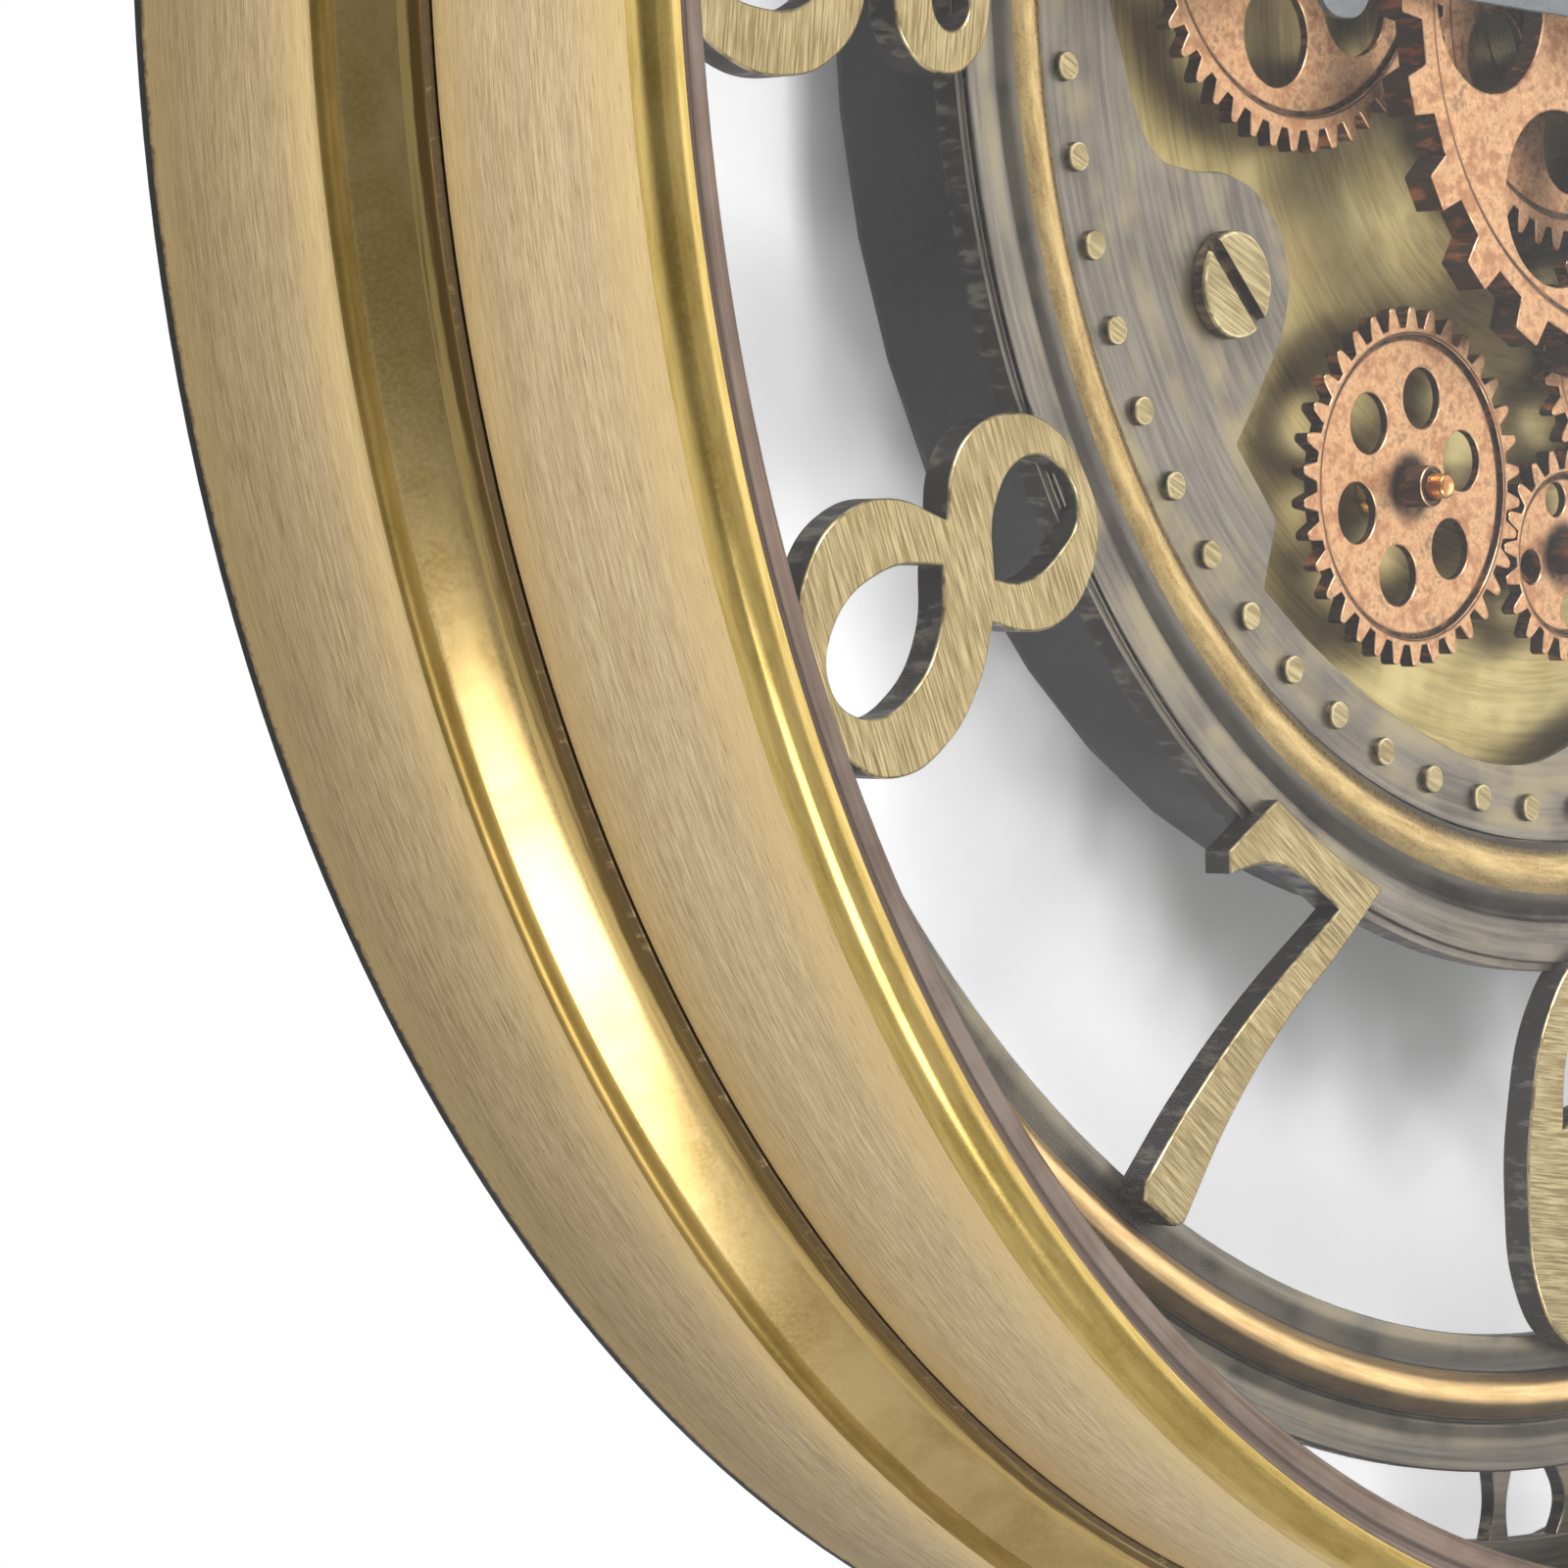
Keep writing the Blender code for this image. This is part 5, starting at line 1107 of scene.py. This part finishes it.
def gear_train():
    large = (0.0354, holes(6, 0.0227, 0.0087, math.radians(16)))
    middle = (0.0262, holes(6, 0.0157, 0.0053, math.radians(16.4)))
    small = (0.0143, holes(4, 0.0100, 0.0031, math.radians(12)))
    idle = (0.0182, holes(5, 0.0128, 0.0042, math.radians(30)))
    hub_low = BACK_PLATE_TOP + GAP + COLLAR_T + GAP
    # Each gear's teeth, turn and centre. It lies from its driver in a direction in degrees.
    placed = {"centre": (46, math.radians(4.8), (0, 0))}
    for name, driver, direction, teeth, kind, rise in (
        ("left", "centre", 169.1, 46, large, 0.0073),
        ("right", "centre", -24, 46, large, 0.0073),
        ("lower_idler", "centre", -76.7, 25, idle, 0.0045),
        ("bottom", "lower_idler", -115.9, 20, small, 0.0073),
        ("lower_left", "bottom", 164.9, 34, middle, 0.0073),
        ("top", "centre", 105, 25, idle, 0.0045),
        ("upper_right", "centre", 50, 34, middle, 0.0073),
        ("pinion", "upper_right", 60, 12, None, 0),
    ):
        driver_teeth, driver_turn, driver_centre = placed[driver]
        direction = math.radians(direction)
        centre = around(pitch_r(driver_teeth + teeth), direction, driver_centre)
        turn = mesh_turn(driver_teeth, driver_turn, teeth, direction)
        placed[name] = (teeth, turn, centre)
        if kind:
            gear(f"{name}_toothed", f"{name}_gear", f"{name}_wheel", teeth, turn, centre, *kind,
                 HUB_BORE_R, HUB_R, hub_low, FINE_TOP + 0.004)
            post(f"{name}_pin", f"{name}_post", centre, rise)
    windows = holes(5, 0.0224, 0.0085, math.radians(-159.5))
    gear("centre_fine_toothed", "centre_fine_gear", "centre_gears", *placed["centre"], large[0],
         windows, CENTRE_BORE_R, BOSS_R, FINE_LOW, COARSE_LOW - GAP)
    teeth, turn, pinion = placed["pinion"]
    wheel = plate(FINE_LOW, FINE_TOP, corners=[fine_teeth(teeth, turn)])
    shaft = pipe(0, 0.002, 0.0262, FINE_TOP + 0.002, (0, 0.0005, 0.0002, 0), 3, 24)
    keep("pinion_toothed", moved(merged(wheel, shaft), pinion),
         by_slope(POST, POST, GEAR_WALL, 0.9), "drive_pinion", "pinion")


def coarse_wheel():
    """The heavy centre wheel in front, with square teeth, six round windows and a boss."""
    teeth = toothed(23, math.radians(-164.8), COARSE_ROOT_R, COARSE_TIP_R, COARSE_TOOTH)
    opening = circle(COARSE_RIM_R, steps=120, clockwise=True)
    rim = plate(COARSE_LOW, COARSE_TOP, corners=[teeth, opening], edge=0.0003)
    disc = [circle(COARSE_RIM_R + 0.0003, steps=120),
            circle(CENTRE_BORE_R, steps=40, clockwise=True)]
    windows = holes(6, 0.038, 0.0154, 0, 56)
    web = plate(COARSE_LOW + 0.0006, COARSE_TOP - 0.0009, corners=disc + windows, edge=0.0004)
    boss = pipe(CENTRE_BORE_R, BOSS_R, COARSE_LOW + 0.001, BOSS_TOP, (0.0003, 0.0006, 0.0002, 0),
                3, 56)
    face = gear_face("coarse_copper", (0, 0), COARSE_RIM_R - 0.0003, BOSS_R)
    keep("centre_coarse_toothed", merged(rim, web, boss),
         by_slope(face, GEAR_EDGE, GEAR_WALL, 0.9), "centre_coarse_gear",
         "centre_gears", 35)


gear_train()
coarse_wheel()


# Centre line and hands
def centre_line():
    tube_r = 0.0043
    bush = stepped(tube_r, 0.008, 0.013, BACK_PLATE_TOP + GAP, FINE_LOW - GAP, NUT_LOW - GAP,
                   (0.0002, 0.0004, 0.0003, 0.0004), 3, 48)
    keep("bush", bush, STEEL, "centre_bush")
    hexagon = [around(0.0102, math.radians(60 * i)) for i in range(6)]
    bore = circle(tube_r, steps=36, clockwise=True)
    nut = plate(NUT_LOW, NUT_LOW + 0.0025, corners=[hexagon, bore], edge=0.0004)
    keep("nut", nut, NUT, "movement_nut")


def hand_outline(length, disc_at, disc_r, half, tip, hub_r):
    """A tapered hand along X, with a round disc on the way to its tip."""
    wide = disc_r * 0.87
    upper = [
        (hub_r * 0.9, half, 1), (disc_at - disc_r * 0.86, half * 0.9, 1),
        (disc_at - disc_r * 0.5, wide), (disc_at, disc_r), (disc_at + disc_r * 0.5, wide),
        (disc_at + disc_r * 0.86, half * 0.8, 1), (disc_at + disc_r * 0.86 + tip * 1.6, tip),
        (length, 0.0004, 1),
    ]
    lower = [(x, -y, *corner) for x, y, *corner in upper[::-1]]
    return upper + lower + [(0, -hub_r), (-hub_r, 0), (0, hub_r)]


def hand(name, node, body, sizes, low, turn, middle, hole=()):
    """A flat hand turned to its place, with its pipe or shaft."""
    outline = facing(hand_outline(*sizes), True)
    shape = plate(low, low + HAND_T, smooth=[outline, *hole], resolution=10)
    keep(name, merged(turned(shape, math.radians(turn)), middle), HAND, node,
         body)


def hands():
    shaft_end = TUBE_TOP - 0.011
    shaft_top = CAP_LOW + 0.00175
    bore_r = 0.002
    bore = [(*point, 1) for point in circle(bore_r, steps=32, clockwise=True)]
    tube = pipe(bore_r, 0.003, shaft_end, HOUR_LOW + 0.0007, (0, 0, 0.0003, 0), 2, 32)
    hand("hand_hours", "hour_hand", "hour", (0.134, 0.090, 0.0092, 0.0033, 0.0062, 0.011),
         HOUR_LOW, 177.8, tube, [bore])
    shaft = pipe(0, 0.0017, shaft_end, shaft_top, (0, 0.0003, 0.0003, 0), 2, 32)
    hand("hand_minutes", "minute_hand", "minute", (0.198, 0.142, 0.0082, 0.0027, 0.0052, 0.009),
         MINUTE_LOW, 63.6, shaft)
    top = CAP_LOW + 0.0035
    hollow = shaft_top + GAP
    cap = rounded([(0, top, 0), (0.0034, top - 0.0002, 0.0012), (0.0048, CAP_LOW + 0.0012, 0.0012),
                   (0.0048, CAP_LOW, 0.0002), (0.002, CAP_LOW, 0), (0.002, hollow, 0),
                   (0, hollow, 0)], 5)
    keep("cap_brass", spun(cap, 48), NUT, "hand_cap", "minute")


centre_line()
hands()

# Finishes of the solids that stay as they are
KEPT = {
    "back_plate": BACK_PLATE, "back_cover": BACK_PAINT, "quartz_movement": BLACK_PLASTIC,
    "quartz_cell": CELL_SLEEVE, "setting_knob": WHITE_PLASTIC, "drive_box": BLACK_PLASTIC,
    "gear_motor": STEEL, "drive_cell_1": CELL_SLEEVE, "drive_cell_2": CELL_SLEEVE,
    "battery_cover": BLACK_PLASTIC, "switch_slider": WHITE_PLASTIC, "hanger_plate": STEEL,
}
for node, kept_finish in KEPT.items():
    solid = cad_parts[node]
    solid.data.materials.clear()
    solid.data.materials.append(kept_finish)


# Wall, lamps and camera
def staged(name, data):
    obj = bpy.data.objects.new(name, data)
    bpy.context.scene.collection.objects.link(obj)
    return obj


def wall_paint():
    """Painted to show pale through the dial, with a painted shadow round the drum and painted light
    lower down, white beside the clock and clear from behind.
    """
    made, tree, shader = material("wall_paint", 0.0, 0.5)
    made.node_tree.nodes.remove(shader)
    place = dial_place(tree)
    upward = tree.split(place)[1]
    radius = tree.use(POLAR, place=place)["Radius"]
    # Painted shadow round the drum. The view comes from the left, so what the dial's middle shows
    # lies to the right of it
    beside = tree.use(POLAR, place=dial_place(tree, (0.055, 0.0)))["Radius"]
    wavy = tree.maths("MULTIPLY_ADD", tree.noise(place, 14.0, 3.0, 0.55), 0.07, beside)
    unshadowed_wall = tree.ease(wavy, 0.206, 0.256)
    # The paint is darker near the drum: a painted shadow
    paint = tree.add("BsdfDiffuse", {
        "Color": tree.mix(unshadowed_wall, (186, 186, 186), (238, 238, 240))})
    # The wall glows, more so lower down outside the painted shadow: painted light
    below = tree.ease(upward, 0.06, -0.12)
    painted_light = tree.maths("MULTIPLY", unshadowed_wall, tree.maths("MULTIPLY_ADD", below, 0.42, 0.03))
    painted_glow = tree.add("Emission", {"Color": LIGHT, "Strength": tree.maths("ADD", painted_light, 0.06)})
    lit = tree.add("AddShader", {0: paint.outputs[0], 1: painted_glow.outputs[0]})
    path = tree.add("LightPath").outputs
    # Mirrored in the brass, the white is dimmer close to the case and low down: painted shade
    near = tree.ease(radius, 0.298, 0.365, 0.64, 1.15)
    low = tree.ease(upward, -0.45, 0.0, 0.74, 1.0)
    mirrored = tree.maths("MULTIPLY", near, low)
    direct = tree.maths("SUBTRACT", 1.0, path["Is Glossy Ray"])
    bright = tree.maths("MAXIMUM", direct, mirrored)
    white = tree.add("Emission", {"Color": LIGHT, "Strength": bright})
    outside = tree.ease(radius, 0.285, 0.290)
    surface = tree.either(outside, lit, white)
    seen = tree.maths("ADD", path["Is Camera Ray"], path["Is Transmission Ray"])
    seen = tree.maths("MINIMUM", tree.maths("ADD", seen, path["Is Glossy Ray"]), 1.0)
    front = tree.maths("SUBTRACT", 1.0, tree.add("NewGeometry").outputs["Backfacing"])
    shown = tree.maths("MULTIPLY", seen, front)
    tree.show(tree.either(shown, tree.add("BsdfTransparent"), surface))
    return made


def wall_behind():
    shape = bmesh.new()
    bmesh.ops.create_grid(shape, x_segments=1, y_segments=1, size=4)
    moved(turned(shape, math.radians(90), "X"), (0, 0.004), -HOOK_R)
    wall = staged("wall_behind", to_mesh(shape))
    wall.data.materials.append(wall_paint())


def lamp(name, place, size, power):
    """An area lamp that looks at the middle of the dial."""
    data = bpy.data.lights.new(name, "AREA")
    data.shape = "RECTANGLE"
    data.size, data.size_y = size
    data.energy = power
    obj = staged(name, data)
    obj.location = place
    way = Vector((0, 0, -HOOK_R)) - Vector(place)
    obj.rotation_euler = way.to_track_quat("-Z", "Y").to_euler()


def studio():
    """A white surround, dimmer on the side that the brass mirrors, and three lamps."""
    world = bpy.data.worlds.new("studio")
    bpy.context.scene.world = world
    world.use_nodes = True
    tree = Tree(world.node_tree)
    shade = world.node_tree.nodes["Background"]
    shade.inputs["Color"].default_value = LIGHT
    seen = tree.add("LightPath").outputs["Is Camera Ray"]
    way = tree.vector("NORMALIZE", tree.add("TexCoord").outputs["Generated"])
    facing_us = tree.vector("DOT_PRODUCT", way, (-0.72, -0.69, 0.03))
    dim = tree.ease(facing_us, 0.66, 0.93, 0.64, 0.26)
    tree.feed(shade.inputs["Strength"], tree.maths("MAXIMUM", seen, dim))
    lamp("right_front", (1.55, -1.40, 0.0), (1.5, 1.7), 9.5)
    lamp("low_left", (-0.60, -1.34, -1.45), (0.8, 0.72), 9)
    lamp("top_left", (-0.75, -1.15, 1.35), (0.45, 0.45), 34)


def camera():
    """The camera that was fitted to the rings of the photo."""
    right = Vector((0.67196, -0.74039, -0.01708))
    down = Vector((-0.03809, -0.01152, -0.99921))
    ahead = Vector((0.73961, 0.67207, -0.03594))
    data = bpy.data.cameras.new("camera")
    data.lens = 145.1
    data.sensor_width = 36
    data.clip_start = 0.05
    obj = staged("camera", data)
    turn = Matrix((right, -down, -ahead)).transposed().to_4x4()
    obj.matrix_world = Matrix.Translation((-0.9270, -0.6970, -HOOK_R - 0.0928)) @ turn
    bpy.context.scene.camera = obj


wall_behind()
studio()
camera()
bpy.context.scene.view_settings.view_transform = "Standard"
